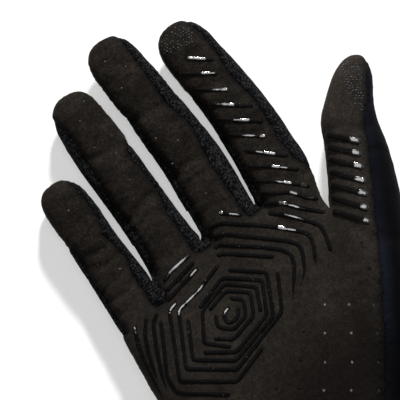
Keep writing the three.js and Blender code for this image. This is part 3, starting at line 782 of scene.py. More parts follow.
def finish_panel(obj, name, material, node, cutters=()):
    """Thickens a sheet inward, cuts it once more, and makes it a piece."""
    obj.name = name
    modifier = obj.modifiers.new("cloth", "SOLIDIFY")
    modifier.thickness = CLOTH * MM
    modifier.offset = -1
    modifier.use_quality_normals = True
    bake(obj)
    for block in cutters:
        add_cut_slots(obj)
        boolean(obj, block, "DIFFERENCE")
        obj.data.materials.clear()
        mark_faces(obj, KEEP)
    map_cloth(obj)
    distance, _ = seam_distance(palm_outline(), positions(obj.data))
    mark_points(obj, "seam", np.abs(distance).astype(np.float32))
    dress(obj, material, node)


def part_in(obj, block):
    """A copy of the part of an object that lies in a block."""
    return boolean(linked(obj.name, obj.data.copy()), block)


def make_panels(skin):
    """Cuts the skin into its panels and returns the palm's open sheet, for the print."""
    gap = SEAM_GAP / 2
    add_cut_slots(skin)
    for rows in SLITS:
        boolean(skin, slit(rows), "DIFFERENCE")
    hand = part_in(skin, slab(PANEL_HEM_Y + gap, FAR))
    cuff = part_in(skin, slab(BINDING_Y + gap, PANEL_HEM_Y - gap))
    binding = part_in(skin, slab(MOUTH_Y, BINDING_Y - gap))
    bpy.data.objects.remove(skin)

    palm = boolean(part_in(hand, prism(palm_outline())), half_space(True, gap))
    back = boolean(part_in(hand, prism(back_outline())), half_space(False, -gap))
    for outline, above in ((palm_outline(), True), (back_outline(), False)):
        block = prism(grown(outline, SEAM_GAP))
        boolean(block, half_space(above, -gap if above else gap))
        boolean(hand, block, "DIFFERENCE")

    for obj in (palm, back, hand, cuff, binding):
        open_sheet(obj)
    whole = linked("whole_palm", palm.data.copy())
    finish_panel(biggest_island(back), "glove_back", back_knit(), "back_panel")
    finish_panel(cuff, "glove_cuff", cuff_knit(), "cuff")
    finish_panel(binding, "glove_cuff_binding", binding_tape(), "cuff_binding")
    side_panels(hand)
    finish_panel(biggest_island(palm), "glove_palm", suede(), "palm_panel", [drills()])
    return whole


# The panels between the palm and the back: piece, CAD node, slot, where its box has its middle, and its slits
SIDES = [
    ("pinky_outer_strip", "pinky_side", "knit", -42, 33, []),
    ("pinky_ring_gusset", "pinky_ring_fourchette", "knit", -24, 50, [0]),
    ("ring_middle_gusset", "ring_middle_fourchette", "knit", 1, 55, [1]),
    ("middle_index_gusset", "middle_index_fourchette", "knit", 25, 65, [2]),
    ("index_outer_strip", "index_side", "knit", 48, 62, []),
    ("thumb_stretch_panel", "thumb_panel", "stretch", 60, -10, []),
]
SLIT_WALL = 0.04  # how much of a slit's width its cloth may take
CRUMB = 300  # points of the largest loose part that is no panel


def side_panels(rest):
    label = islands(rest.data)
    points = positions(rest.data)
    middles = {}
    for value, count in zip(*np.unique(label, return_counts=True)):
        if count > CRUMB:
            mine = points[label == value]
            middles[value] = (mine.min(axis=0) + mine.max(axis=0)) / 2
    for piece, node, slot, x, y, slits in SIDES:
        value = min(middles, key=lambda v: math.hypot(middles[v][0] - x, middles[v][1] - y))
        strip = keep_points(linked(piece, rest.data.copy()), label == value)
        material = thumb_stretch() if slot == "stretch" else side_knit()
        finish_panel(strip, piece, material, node, [slit(SLITS[i], SLIT_WALL) for i in slits])
    bpy.data.objects.remove(rest)


# The raised print

RIB_GROUPS = {
    "palm": {"width": 1.5, "height": 0.55, "turned": False},
    "index": {"width": 1.3, "height": 0.6, "turned": False},
    "thumb": {"width": 2.1, "height": 0.7, "turned": True},
}
LONG_TAPERS = {"arc_2": 8.0, "arc_3": 9.0, "arc_4": 3.0, "side_1": 6.0, "side_2": 6.0, "side_3": 8.0}
PALM_RIBS = {
    "hexagon_1": [(-3, -0.7), (-6.4, -1.8), (-7.3, -4.7), (-5.3, -6.3), (-2.3, -5.7), (-0.3, -2.7)],
    "hexagon_2": [(-9, -0.3), (-11, -4.5), (-6.5, -8.7), (0.3, -7), (2.8, -1.3), (-1.2, 1.9)],
    "hexagon_3": [(-10.2, 2.2), (-1, 5), (6.5, -0.5), (2.7, -8.7), (-8.5, -11.8), (-14.5, -7.5)],
    "hexagon_4": [(5.8, -8.8), (9.5, 0), (0, 7.5), (-12.5, 3.5), (-18.6, -7), (-10.7, -13.8)],
    "hexagon_5": [(-13, 4.9), (0.5, 9.9), (12.8, 1), (7, -11), (-10, -16.4), (-20.8, -9.8)],
    "hexagon_6": [(4, 11.2), (15.8, 2.5), (9, -12.5), (-12, -19), (-25.5, -10), (-18.8, 3.7)],
    "hexagon_7": [(19.3, 0.5), (12.5, -13), (-13.5, -22), (-29.5, -11.5), (-20, 8.5), (-9, 10.8),
                  (1.8, 14.7)],
    "heel_1": [(-0.9, -20.3), (-16, -25.8), (-34, -14), (-23, 10.3), (-18.8, 11.5)],
    "heel_2": [(-20.8, -28.5), (-36, -18.2), (-37.4, -16), (-37.1, -10), (-31.8, 0.5), (-27.8, 8.8)],
    "side_1": [(-27.2, 12.1), (-30.6, 9.8), (-34.8, 0.9), (-38.3, -8.3), (-40, -13.7)],
    "side_2": [(-31.8, 12.8), (-35.6, 7.8), (-38.3, 0.9), (-40.2, -6), (-41, -9.5)],
    "side_3": [(-37.2, 12.8), (-39.5, 6.7), (-41, 0.9), (-42.5, -10.6), (-43, -15.6)],
    "ring_1": [(-21.5, 13.8), (-5, 18)],
    "ring_2": [(-20, 17), (-5, 20.7)],
    "ring_3": [(-19, 20.5), (-15, 22.3), (-4.5, 24)],
    "arc_1": [(3.3, 17.7), (5.5, 17.6), (21.3, 5.9)],
    "arc_2": [(4, 20.6), (6.5, 20.9), (20, 11), (25.5, 6.3), (27.2, 3), (26, -1), (18.5, -11.3)],
    "arc_3": [(6, 23.8), (8, 24.1), (11, 22.8), (20, 15.3), (29, 8), (31.5, 5), (31.5, 2), (28, -5),
              (24.2, -8.4)],
    "arc_4": [(6.2, 27.7), (9, 28.2), (12, 27.2), (27, 15.8), (34, 9.3), (37, 6), (36.5, 2), (33, -4.8)],
    "arc_5": [(28.3, 20.8), (34, 16.5), (40, 9.5), (42.5, 6), (42, 2), (40.5, -4)],
    "arc_6": [(29, 24.6), (35, 21.2), (40, 15.5), (46.6, 9.4)],
    "middle": [(12.8, 31.3), (19.8, 25.5)],
}
INDEX_RIBS = [
    [(34.2, 87), (42.8, 80.7)],
    [(29.4, 82.9), (41.3, 75.6)],
    [(30.6, 75), (41.5, 68)],
    [(32.7, 67.2), (45.8, 58)],
    [(31.6, 61.1), (45.8, 51)],
    [(31.2, 54.4), (43.8, 45.5)],
    [(33.9, 45.8), (46.4, 35)],
    [(31.8, 39.8), (38.5, 35.5), (47.2, 28.4)],
    [(30.4, 33.8), (36, 30.5), (42, 25.5), (47.3, 20.8)],
    [(30.2, 29.1), (34.5, 26), (39.5, 23.3), (44, 17.8), (47.2, 15)],
]
THUMB_RIBS = [
    [(34.4, 62.7), (47, 60)],
    [(34.7, 58), (47.5, 55.2)],
    [(35.2, 53.3), (48.3, 50.3)],
    [(35.7, 48.7), (49, 45)],
    [(36.1, 43.8), (49.8, 40)],
    [(36.4, 38.8), (50.1, 34.8)],
    [(36.8, 33.8), (50.8, 29.7)],
]
RIB_STEP = 0.45
RIB_CORNER = 1.5
CORNER_STEPS = 6
RIB_PROFILE = 13
RIB_SINK = 0.12  # how deep a rib's foot lies in the cloth
RIB_FLATNESS = 0.5  # 1 is a half-round bead, less has a flatter top and steeper sides
RIB_END = 0.75  # the length over which a rib comes to its round end
RIB_BLUNTNESS = 0.12  # how much longer a rib's end is taken to be, so that it isn't a point
TAPER_END = 0.15  # how thick the last of a taper is
TAPER_POWER = 0.7
SWELLS = [(0.10, 0.5 * RIB_STEP, 0), (0.05, 0.9, 4)]  # depth, how fast it changes along the rib, and seed
RIDGE = "only on the ridge"
# Where the print has kept its gloss: x, y and radius, in the frame of the rib's table
GLOSSY_SPOTS = {
    "palm_rib_ring_3": [(-11.5, 23.0, 4.6), (-15.6, 21.8, 2.4, RIDGE), (-6.0, 23.6, 2.4, RIDGE)],
    "palm_rib_ring_1": [(-7.5, 17.3, 2.4, RIDGE)],
    "palm_rib_hexagon_7": [(-18.8, 8.8, 3.0, RIDGE), (-13.5, 9.9, 3.6, RIDGE), (-8.6, 10.9, 2.2, RIDGE)],
    "palm_rib_hexagon_1": [(-5.2, -1.4, 1.7, RIDGE)],
    "palm_rib_heel_1": [(-21.0, 11.0, 3.0, RIDGE)],
    "palm_rib_side_3": [(-38.0, 11.6, 2.2, RIDGE)],
    "palm_rib_arc_4": [(29.6, 13.3, 1.8), (32.2, 11.1, 2.4, RIDGE)],
    "palm_rib_arc_5": [(36.0, 14.3, 4.6, RIDGE)],
    "palm_rib_arc_6": [(35.0, 21.2, 1.6), (38.4, 17.4, 4.0, RIDGE)],
    "palm_rib_middle": [(13.3, 30.9, 1.0), (17.4, 27.5, 2.6, RIDGE)],
    "index_rib_1": [(37.4, 84.7, 3.9)],
    "index_rib_2": [(37.4, 78.1, 1.9), (39.5, 76.8, 2.4, RIDGE)],
    "index_rib_3": [(40.2, 68.9, 1.9), (37.6, 70.5, 1.6, RIDGE)],
    "index_rib_4": [(38.2, 63.6, 2.7), (35.6, 65.2, 2.0, RIDGE)],
    "index_rib_5": [(40.0, 55.2, 2.3), (37.8, 56.7, 1.8, RIDGE)],
    "index_rib_6": [(42.7, 46.3, 1.5), (38.5, 49.2, 3.0, RIDGE)],
    "index_rib_7": [(41.2, 39.7, 2.5), (38.4, 42.0, 1.8, RIDGE)],
    "index_rib_8": [(40.2, 34.0, 1.8), (42.6, 32.1, 1.8, RIDGE)],
    "index_rib_9": [(40.9, 26.6, 1.6), (38.4, 28.6, 2.4, RIDGE), (45.6, 22.3, 1.2)],
    "index_rib_10": [(40.6, 22.0, 1.7), (45.3, 17.0, 2.0, RIDGE)],
    "thumb_rib_1": [(45.3, 60.3, 2.6)],
    "thumb_rib_2": [(46.1, 55.5, 2.7)],
    "thumb_rib_3": [(46.6, 50.7, 2.5)],
    "thumb_rib_4": [(47.3, 45.5, 2.6)],
    "thumb_rib_5": [(48.5, 40.4, 2.5)],
    "thumb_rib_6": [(48.9, 35.2, 2.2)],
    "thumb_rib_7": [(49.8, 30.1, 2.2)],
}
SPOT_LEVELLING = 0.75  # how far the print's top is levelled in a glossy spot


def rounded_path(corners, radius, step):
    """A path with rounded corners and even steps."""
    points = [Vector(c) for c in corners]
    path = [points[0]]
    for before, point, after in zip(points, points[1:], points[2:]):
        a = point + (before - point).normalized() * min(radius, (before - point).length * 0.45)
        b = point + (after - point).normalized() * min(radius, (after - point).length * 0.45)
        for k in range(CORNER_STEPS + 1):
            t = k / CORNER_STEPS
            path.append(a * (1 - t) ** 2 + point * 2 * t * (1 - t) + b * t * t)
    flat = np.array([tuple(p) for p in path + [points[-1]]])
    run = run_along(flat)
    places = np.linspace(0, run[-1], max(3, int(run[-1] / step) + 1))
    return np.stack([np.interp(places, run, column) for column in flat.T], axis=1)


def run_along(path):
    """How far along the path each of its points lies."""
    return np.concatenate([[0], np.cumsum(np.linalg.norm(np.diff(path, axis=0), axis=1))])


RAY_HEIGHT = 60


class Cloth:
    """A surface, asked for its height and slope."""

    def __init__(self, obj):
        points = positions(obj.data)
        self.tree = BVHTree.FromPolygons(points.tolist(), [tuple(p.vertices) for p in obj.data.polygons])

    def at(self, x, y):
        """The place and normal under a point, seen from above."""
        return self.tree.ray_cast(Vector((x, y, RAY_HEIGHT)), Vector((0, 0, -1)))[:2]


def gloss_at(place, spots):
    """From 0 outside every spot to 1 at the middle of one, for the whole width and for the ridge alone."""
    whole = [1 - math.dist(place, spot[:2]) / spot[2] for spot in spots if RIDGE not in spot]
    ridge = [1 - math.dist(place, spot[:2]) / spot[2] for spot in spots]
    return max(whole + [0.0]), max(ridge + [0.0])


def rib_mesh(path, width, height, cloth, seed, taper, gloss):
    """A low flat-topped bead along the cloth, round at its ends, or narrowing over a taper at its last."""
    points, shine = [], []
    last = len(path) - 1
    for i, (x, y) in enumerate(path):
        place, normal = cloth.at(x, y)
        if place is None:
            continue
        level = SPOT_LEVELLING * min(1, 3 * gloss[i][1])
        normal = normal.lerp(Vector((0, 0, 1)), level).normalized()
        along = Vector((*(path[min(i + 1, last)] - path[max(i - 1, 0)]), 0))
        along = (along - normal * along.dot(normal)).normalized()
        across = along.cross(normal)
        from_end = min(i, last - i) * RIB_STEP
        end = math.sqrt(min(1, (from_end + RIB_BLUNTNESS) / RIB_END))
        if taper:
            end = min(end, max(TAPER_END, (last - i) * RIB_STEP / taper) ** TAPER_POWER)
        swell = 1 + sum(depth * noise.noise((i * pace, seed, z)) for depth, pace, z in SWELLS)
        for k in range(RIB_PROFILE):
            angle = math.pi * k / (RIB_PROFILE - 1)
            wide = math.copysign(abs(math.cos(angle)) ** RIB_FLATNESS, math.cos(angle))
            sideways = wide * width / 2 * end * swell
            lift = math.sin(angle) ** RIB_FLATNESS * height * end * swell - RIB_SINK
            points.append(tuple(place + across * sideways + normal * lift))
            shine.append(gloss[i][1] if k == RIB_PROFILE // 2 else gloss[i][0])
    *sides, foot, head = loft_faces(len(points) // RIB_PROFILE, RIB_PROFILE, 0)
    # the profile runs clockwise, seen from the rib's start
    faces = [(a, d, c, b) for a, b, c, d in sides] + [foot[::-1], head[::-1]]
    return points, faces, shine


def make_ribs(cloth):
    named = [("palm", "palm_rib_" + name, corners) for name, corners in PALM_RIBS.items()]
    for group, ribs in (("index", INDEX_RIBS), ("thumb", THUMB_RIBS)):
        named += [(group, f"{group}_rib_{i + 1}", corners) for i, corners in enumerate(ribs)]
    for seed, (group, node, corners) in enumerate(named):
        width, height, turned = RIB_GROUPS[group].values()
        taper = LONG_TAPERS.get(node.removeprefix("palm_rib_"), 0)
        path = rounded_path(corners, RIB_CORNER, RIB_STEP)
        gloss = [gloss_at(place, GLOSSY_SPOTS.get(node, [])) for place in path]
        if turned:
            path = np.stack(to_hand(*path.T), axis=1)
        points, faces, shine = rib_mesh(path, width, height, cloth, seed, taper, gloss)
        rib = new_object("print_" + node, points, faces)
        mark_points(rib, "gloss", shine)
        dress(rib, palm_print() if group == "palm" else finger_print(), node)


# Small details that lie on the cloth

def dome(points, faces, place, normal, radius, height, sides=8):
    """A low closed bump."""
    start = len(points)
    tilt = normal.to_track_quat("Z", "Y")
    rings = [(1.0, -0.12), (0.92, 0.25 * height), (0.55, 0.85 * height)]
    for share, z in rings:
        for k in range(sides):
            angle = 2 * math.pi * k / sides
            local = Vector((radius * share * math.cos(angle), radius * share * math.sin(angle), z))
            points.append(tuple(place + tilt @ local))
    points.append(tuple(place + tilt @ Vector((0, 0, height))))
    *walls, foot, rim = loft_faces(len(rings), sides, start)
    faces += walls + [(a, b, len(points) - 1) for a, b in zip(rim, rim[1:] + rim[:1])] + [foot]


DOT_RADIUS = 0.34
DOT_HEIGHT = 0.24
DOT_STEP = (1.2, 1.0)
DOT_JITTER = 0.5
DOT_UNEVENNESS = 0.8
DOT_GAPS = -0.12  # the noise level under which a dot is worn off
DOT_STEEPEST = 0.35  # the least upward part of the cloth's normal where a dot is printed
DOT_GAP_WAVE = 0.9  # how fast the noise of the worn places changes
DOT_WAVE = 1.7  # how fast that of the dots' jitter does
DOT_SIZE_WAVE = (2.1, 2.3)
# The outlines of the two fields of touch dots, with whether they are in the thumb's frame
DOT_FIELDS = [
    (False, [(28.0, 92.6), (29.6, 97.2), (37.6, 99.0), (42.0, 95.6), (40.6, 90.4), (37.1, 89.8),
             (30.9, 90.8)]),
    (True, [(38.8, 87.8), (42, 90.4), (46.5, 89), (48.2, 84), (48.2, 71.6), (46.0, 71), (43.2, 75.2),
            (40.8, 79.6), (38.4, 84)]),
]


def make_touch_dots(cloth):
    points, faces = [], []
    step_x, step_y = DOT_STEP
    for turned, outline in DOT_FIELDS:
        (low_x, low_y), (high_x, high_y) = np.min(outline, axis=0), np.max(outline, axis=0)
        grid = [
            (low_x + (column + 0.5 * (row % 2)) * step_x, low_y + row * step_y)
            for row in range(int((high_y - low_y) / step_y) + 1)
            for column in range(int((high_x - low_x) / step_x) + 1)
        ]
        inside, _ = seam_distance(outline, np.array(grid))
        for (x, y), within in zip(grid, inside):
            if within < 0 or noise.noise((x * DOT_GAP_WAVE, y * DOT_GAP_WAVE, 2)) < DOT_GAPS:
                continue
            x += DOT_JITTER * noise.noise((x * DOT_WAVE, y * DOT_WAVE, 5))
            y += DOT_JITTER * noise.noise((x * DOT_WAVE, y * DOT_WAVE, 9))
            place, normal = cloth.at(*(to_hand(x, y) if turned else (x, y)))
            if place is not None and normal.z > DOT_STEEPEST:
                size = 1 + DOT_UNEVENNESS * noise.noise((x * DOT_SIZE_WAVE[0], y * DOT_SIZE_WAVE[1], 7))
                dome(points, faces, place, normal, DOT_RADIUS * size, DOT_HEIGHT * size)
    dress(new_object("touch_dots", points, faces), touch_print())


BACKING_DEPTH = 0.5
FINGER_BACKING_DEPTH = 0.16
BACKING_WIDTH = 0.97  # of the hole's
BACKING_BULGE = 0.12


def make_hole_backing(cloth):
    """The pale mesh that shows at the bottom of each air hole."""
    points, faces = [], []
    for x, y, radius in hole_centres():
        place, _ = cloth.at(x, y)
        if place is not None:
            depth = BACKING_DEPTH if radius == HOLE_RADIUS else FINGER_BACKING_DEPTH
            bottom = place - Vector((0, 0, depth))
            dome(points, faces, bottom, Vector((0, 0, 1)), radius * BACKING_WIDTH, BACKING_BULGE, HOLE_SIDES)
    dress(new_object("air_hole_backing", points, faces), hole_mesh(), smooth=False)


STITCH_LENGTH = 1.9
STITCH_PITCH = 2.6
STITCH_RADIUS = 0.16
STITCH_SIDES = 6
STITCH_RINGS = 5
STITCH_ENDS = 0.55  # how thick a stitch is at its ends, where 1 is its middle
STITCH_SINK = 0.6  # how deep its ends lie, and how far its middle rises over them, in its own radius
STITCH_RISE = 1.5
HEM_STITCH_ROWS = (PANEL_HEM_Y + 1.9, PANEL_HEM_Y - 1.7, BINDING_Y + 1.3, BINDING_Y - 1.7)
LOOP_STEPS = 400
LOOP_START = 1.16  # in half turns from the thumb's side
LOOP_TURN = 1.32
LOOP_WIDTH, LOOP_HEIGHT = 1.5, 2.5  # where the rays start, in the wrist's own half width and height


def stitch(points, faces, a, b, up):
    """A short thread from a to b that rises a little in its middle."""
    faces += loft_faces(STITCH_RINGS, STITCH_SIDES, len(points))
    across = (b - a).normalized().cross(up).normalized()
    for r in range(STITCH_RINGS):
        t = r / (STITCH_RINGS - 1)
        arch = math.sin(math.pi * t)
        rise = arch * STITCH_RADIUS * STITCH_RISE - STITCH_RADIUS * STITCH_SINK
        size = STITCH_RADIUS * (STITCH_ENDS + (1 - STITCH_ENDS) * arch)
        for k in range(STITCH_SIDES):
            angle = 2 * math.pi * k / STITCH_SIDES
            spread = across * math.cos(angle) * size + up * (math.sin(angle) * size + rise)
            points.append(tuple(a.lerp(b, t) + spread))


def stitch_row(points, faces, places, ups):
    """Stitches at an even pitch along a row of places."""
    places, ups = np.array(places), np.array(ups)
    run = run_along(places)

    def at(distance, values):
        return Vector([np.interp(distance, run, column) for column in values.T])

    for k in range(int((run[-1] - STITCH_LENGTH) / STITCH_PITCH)):
        a = k * STITCH_PITCH
        up = at(a + STITCH_LENGTH / 2, ups).normalized()
        stitch(points, faces, at(a, places), at(a + STITCH_LENGTH, places), up)


def wrist_loop(surface, y):
    """Places and normals once round the wrist at one y, from the floor on one side to the other."""
    centre, half, mid, above, _ = (float(v) for v in section(HAND, y))
    places, ups = [], []
    for k in range(LOOP_STEPS):
        angle = math.pi * (LOOP_START - LOOP_TURN * k / (LOOP_STEPS - 1))
        outward = Vector((math.cos(angle) * half * LOOP_WIDTH, 0, math.sin(angle) * above * LOOP_HEIGHT))
        place, normal, _, _ = surface.tree.ray_cast(Vector((centre, y, mid)) + outward, -outward.normalized())
        if place is not None:
            places.append(tuple(place))
            ups.append(tuple(normal))
    return places, ups


def make_hem_stitches(surface):
    points, faces = [], []
    for y in HEM_STITCH_ROWS:
        stitch_row(points, faces, *wrist_loop(surface, y))
    dress(new_object("hem_stitches", points, faces), thread())


# Materials. A colour is given as it looks on screen, from 0 to 255.

def linear(*srgb):
    return tuple((c / 255 / 12.92) if c <= 10 else ((c / 255 + 0.055) / 1.055) ** 2.4 for c in srgb) + (1.0,)


class Shader:
    """A material with one Principled shader, and short ways to add its nodes."""

    def __init__(self, name, **constants):
        self.material = bpy.data.materials.new(name)
        self.material.use_nodes = True
        self.tree = self.material.node_tree
        self.out = self.tree.nodes["Principled BSDF"]
        for socket, value in constants.items():
            self.out.inputs[socket.replace("_", " ")].default_value = value

    def put(self, value, socket):
        """Links a node's output to a socket, or sets a constant."""
        if isinstance(value, bpy.types.NodeSocket):
            self.tree.links.new(value, socket)
        else:
            socket.default_value = value

    def node(self, kind, settings=None, **inputs):
        made = self.tree.nodes.new("ShaderNode" + kind)
        for key, value in (settings or {}).items():
            setattr(made, key, value)
        for key, value in inputs.items():
            numbered = key[0] == "i" and key[1:].isdigit()
            self.put(value, made.inputs[int(key[1:]) if numbered else key])
        return made

    def math(self, operation, a, b=0.0, c=0.0):
        return self.node("Math", {"operation": operation}, i0=a, i1=b, i2=c).outputs[0]

    def times(self, a, *factors):
        for factor in factors:
            a = self.math("MULTIPLY", a, factor)
        return a

    def plus(self, a, b):
        return self.math("ADD", a, b)

    def minus(self, a, b):
        return self.math("SUBTRACT", a, b)

    def scaled(self, vector, by):
        return self.node("VectorMath", {"operation": "SCALE"}, Vector=vector, Scale=by).outputs[0]

    def place(self):
        """The piece's own coordinates, in millimetres."""
        return self.scaled(self.node("TexCoord").outputs["Object"], 1000.0)

    def parts(self, vector):
        return self.node("SeparateXYZ", Vector=vector).outputs[:2]

    def thumb_place(self):
        """x and y in the thumb's frame, in millimetres."""
        made = []
        for axis in ((COS, -SIN, 0), (SIN, COS, 0)):
            along = self.node("VectorMath", {"operation": "DOT_PRODUCT"}, i0=self.place(), i1=axis)
            made.append(self.plus(along.outputs["Value"], float(np.dot(axis, ROW_ORIGIN))))
        return made

    def cloth(self):
        """Across and along the cloth, in millimetres."""
        uv = self.node("UVMap", {"uv_map": "cloth"}).outputs[0]
        return [self.times(part, 1 / UV_SCALE) for part in self.parts(uv)]

    def stored(self, name):
        """What mark_points has kept for each point."""
        return self.node("Attribute", {"attribute_name": name}).outputs["Fac"]

    def by_seam(self, low, high, to_low=0.0, to_high=1.0):
        """A change between two distances to the palm's seam, in millimetres."""
        return self.spread(self.stored("seam"), low, high, to_low, to_high)

    def noise(self, size, detail=2.0, roughness=0.55, vector=None):
        """Noise with features about size millimetres wide."""
        vector = vector or self.place()
        made = self.node("TexNoise", Vector=vector, Scale=1.0 / size, Detail=detail, Roughness=roughness)
        return made.outputs["Fac"]

    def spread(self, value, low, high, to_low=0.0, to_high=1.0):
        """A value's place between low and high, as a place between to_low and to_high."""
        made = self.node("MapRange", {"clamp": True}, i0=value, i1=low, i2=high, i3=to_low, i4=to_high)
        return made.outputs[0]

    def mix(self, share, a, b):
        """A mix of two colours, each a node's output or a tuple as it looks on screen."""
        a, b = (linear(*colour) if isinstance(colour, tuple) else colour for colour in (a, b))
        made = self.node("Mix", {"data_type": "RGBA", "clamp_factor": True}, i0=share, i6=a, i7=b)
        return made.outputs[2]

    def colour(self, socket):
        self.tree.links.new(socket, self.out.inputs["Base Color"])

    def bump(self, height, depth, strength=1.0):
        """depth is the height's full range, in millimetres."""
        made = self.node("Bump", Height=height, Distance=depth * MM, Strength=strength)
        self.tree.links.new(made.outputs[0], self.out.inputs["Normal"])

    def knit(self, wale, course):
        """Columns of interlocked stitches, from 0 in the gaps to 1 on the yarn."""
        across, along = self.cloth()
        column = self.math("FRACT", self.math("DIVIDE", across, wale))
        side = self.math("ABSOLUTE", self.minus(column, 0.5))
        row = self.plus(self.math("DIVIDE", along, course), self.times(side, 1.6))
        loops = self.math("SINE", self.times(row, math.pi))
        yarn = self.math("POWER", self.math("ABSOLUTE", loops), 0.7)
        edge = self.math("SINE", self.times(side, 2 * math.pi))
        return self.times(yarn, self.math("POWER", self.math("ABSOLUTE", edge), 0.5))


@cache
def suede():
    s = Shader("suede", Roughness=0.95, Sheen_Weight=0.05, Sheen_Roughness=0.5, Specular_IOR_Level=0.1,
               Sheen_Tint=linear(150, 135, 120))
    place = s.place()
    across, along = s.parts(place)
    fingers = s.times(s.spread(along, 6, 34), s.spread(across, 35, 31))
    heel = s.times(s.spread(along, -20, -46), s.spread(across, -48, -18))
    patches = s.spread(s.noise(8, 3), 0.36, 0.64)
    palm = s.mix(patches, (26, 22, 19), (33, 29, 25))
    thumb = s.mix(patches, (30, 26, 23), (36, 32, 28))
    bands = s.node("Mapping", Vector=place, Scale=(0.5, 1.0, 0.5)).outputs[0]
    # The fingers' colour, darker than the palm's, is painted shade on the same suede.
    finger = s.mix(s.spread(s.noise(4.5, 3, 0.6, bands), 0.36, 0.64), (16, 13, 10), (28, 24, 20))
    flat = s.mix(s.spread(across, 12, 36), s.mix(heel, palm, (15, 11, 9)), thumb)
    nap = s.noise(0.6, 3, 0.8)
    rubbed = s.minus(s.spread(s.noise(1.0, 3, 0.75), 0.36, 0.64, 0.5, 1.5), 1.0)
    # The nap's grain and mottling, with painted shade darkening the suede over the last 3 mm before the seam.
    grain_and_seam_shade = s.times(
        s.spread(nap, 0.34, 0.68, 0.4, 1.9),
        s.spread(s.noise(1.9, 2, 0.6), 0.35, 0.65, 0.75, 1.2),
        s.plus(s.times(rubbed, fingers), 1.0),
        s.by_seam(3.2, 0.6, 1.0, 0.68),
    )
    lint = s.spread(s.noise(0.5, 1, 0.5), 0.78, 0.82)
    before_seam_line = s.mix(lint, s.scaled(s.mix(fingers, flat, finger), grain_and_seam_shade), (78, 74, 70))
    # Painted shade: dark notches where the stitches dimple the suede beside the seam, and a dark line along
    # the seam itself.
    notch_shade = s.times(s.spread(s.noise(1.0, 2, 0.6), 0.49, 0.55), s.by_seam(1.5, 0.9))
    seam_shade = s.math("MAXIMUM", s.by_seam(0.8, 0.15), notch_shade)
    s.colour(s.mix(s.times(seam_shade, 0.75), before_seam_line, (5, 5, 5)))
    s.bump(s.plus(s.times(nap, 0.6), s.times(s.noise(0.22, 4, 0.75), 0.4)), 0.16, 0.8)
    return s.material


@cache
def side_knit():
    s = Shader("side_knit", Roughness=0.9, Sheen_Weight=0.02, Sheen_Roughness=0.4, Specular_IOR_Level=0.06,
               Sheen_Tint=linear(125, 128, 132))
    yarn = s.knit(0.95, 0.75)
    fleck = s.spread(s.noise(0.5, 2, 0.7), 0.48, 0.6)
    speckled = s.mix(s.times(fleck, 0.8), s.mix(yarn, (4, 4, 5), (18, 18, 19)), (62, 63, 65))
    # Painted shade: black in the knit's holes, in the dimples beside the seam and along the seam line; the
    # same marks are sunk in the bump.
    hole = s.spread(s.noise(0.9, 1, 0.5), 0.5, 0.56)
    dimple_shade = s.times(s.spread(s.noise(1.2, 2, 0.6), 0.47, 0.54), s.by_seam(1.9, 0.9))
    dark = s.math("MAXIMUM", s.math("MAXIMUM", dimple_shade, hole), s.by_seam(0.5, 0.2))
    s.colour(s.mix(dark, speckled, (2, 2, 3)))
    height = s.plus(yarn, s.times(s.noise(0.3, 2), 0.6))
    s.bump(s.minus(height, s.times(dark, 1.2)), 0.32, 0.9)
    return s.material


@cache
def thumb_stretch():
    s = Shader("thumb_stretch", Roughness=0.75, Sheen_Weight=0.015, Sheen_Roughness=0.35,
               Specular_IOR_Level=0.05, Sheen_Tint=linear(110, 125, 155))
    yarn = s.knit(0.5, 0.42)
    # A painted highlight: a paler blue-grey stripe along the seam, faded where the thumb is less lit.
    seam_highlight = s.times(s.by_seam(5.2, 1.4), s.spread(s.noise(9, 2), 0.3, 0.6, 0.6, 1))
    _, upward = s.thumb_place()
    lit = s.math("MINIMUM", s.spread(upward, -19, -5, 0.3, 1), s.spread(upward, 37, 25, 0.45, 1))
    base = s.mix(s.times(seam_highlight, lit), (3, 3, 5), (21, 24, 33))
    s.colour(s.mix(yarn, s.mix(0.5, base, (1, 1, 3)), base))
    s.bump(yarn, 0.12, 0.6)
    return s.material


@cache
def back_knit():
    s = Shader("back_knit", Roughness=0.85, Sheen_Weight=0.1, Sheen_Roughness=0.4, Specular_IOR_Level=0.2)
    yarn = s.knit(1.2, 0.95)
    fleck = s.spread(s.noise(0.8, 3, 0.7), 0.4, 0.65)
    s.colour(s.mix(yarn, (28, 33, 20), s.mix(fleck, (66, 75, 48), (86, 96, 62))))
    s.bump(yarn, 0.32, 0.9)
    return s.material


@cache
def cuff_knit():
    s = Shader("cuff_knit", Roughness=0.88, Sheen_Weight=0.1, Sheen_Roughness=0.4, Specular_IOR_Level=0.2)
    across, _ = s.cloth()
    rib = s.math("ABSOLUTE", s.math("SINE", s.times(across, math.pi / 2.4)))
    height = s.plus(s.times(rib, 0.7), s.times(s.knit(1.2, 1.0), 0.3))
    s.colour(s.mix(height, (7, 7, 9), (33, 35, 38)))
    s.bump(height, 0.6, 0.9)
    return s.material


@cache
def binding_tape():
    s = Shader("binding_tape", Roughness=0.75, Sheen_Weight=0.1, Sheen_Roughness=0.4)
    across, along = s.cloth()
    height = s.math("ABSOLUTE", s.math("SINE", s.times(s.plus(across, s.times(along, 0.5)), 7.0)))
    s.colour(s.mix(height, (8, 8, 10), (28, 29, 32)))
    s.bump(height, 0.15, 0.8)
    return s.material


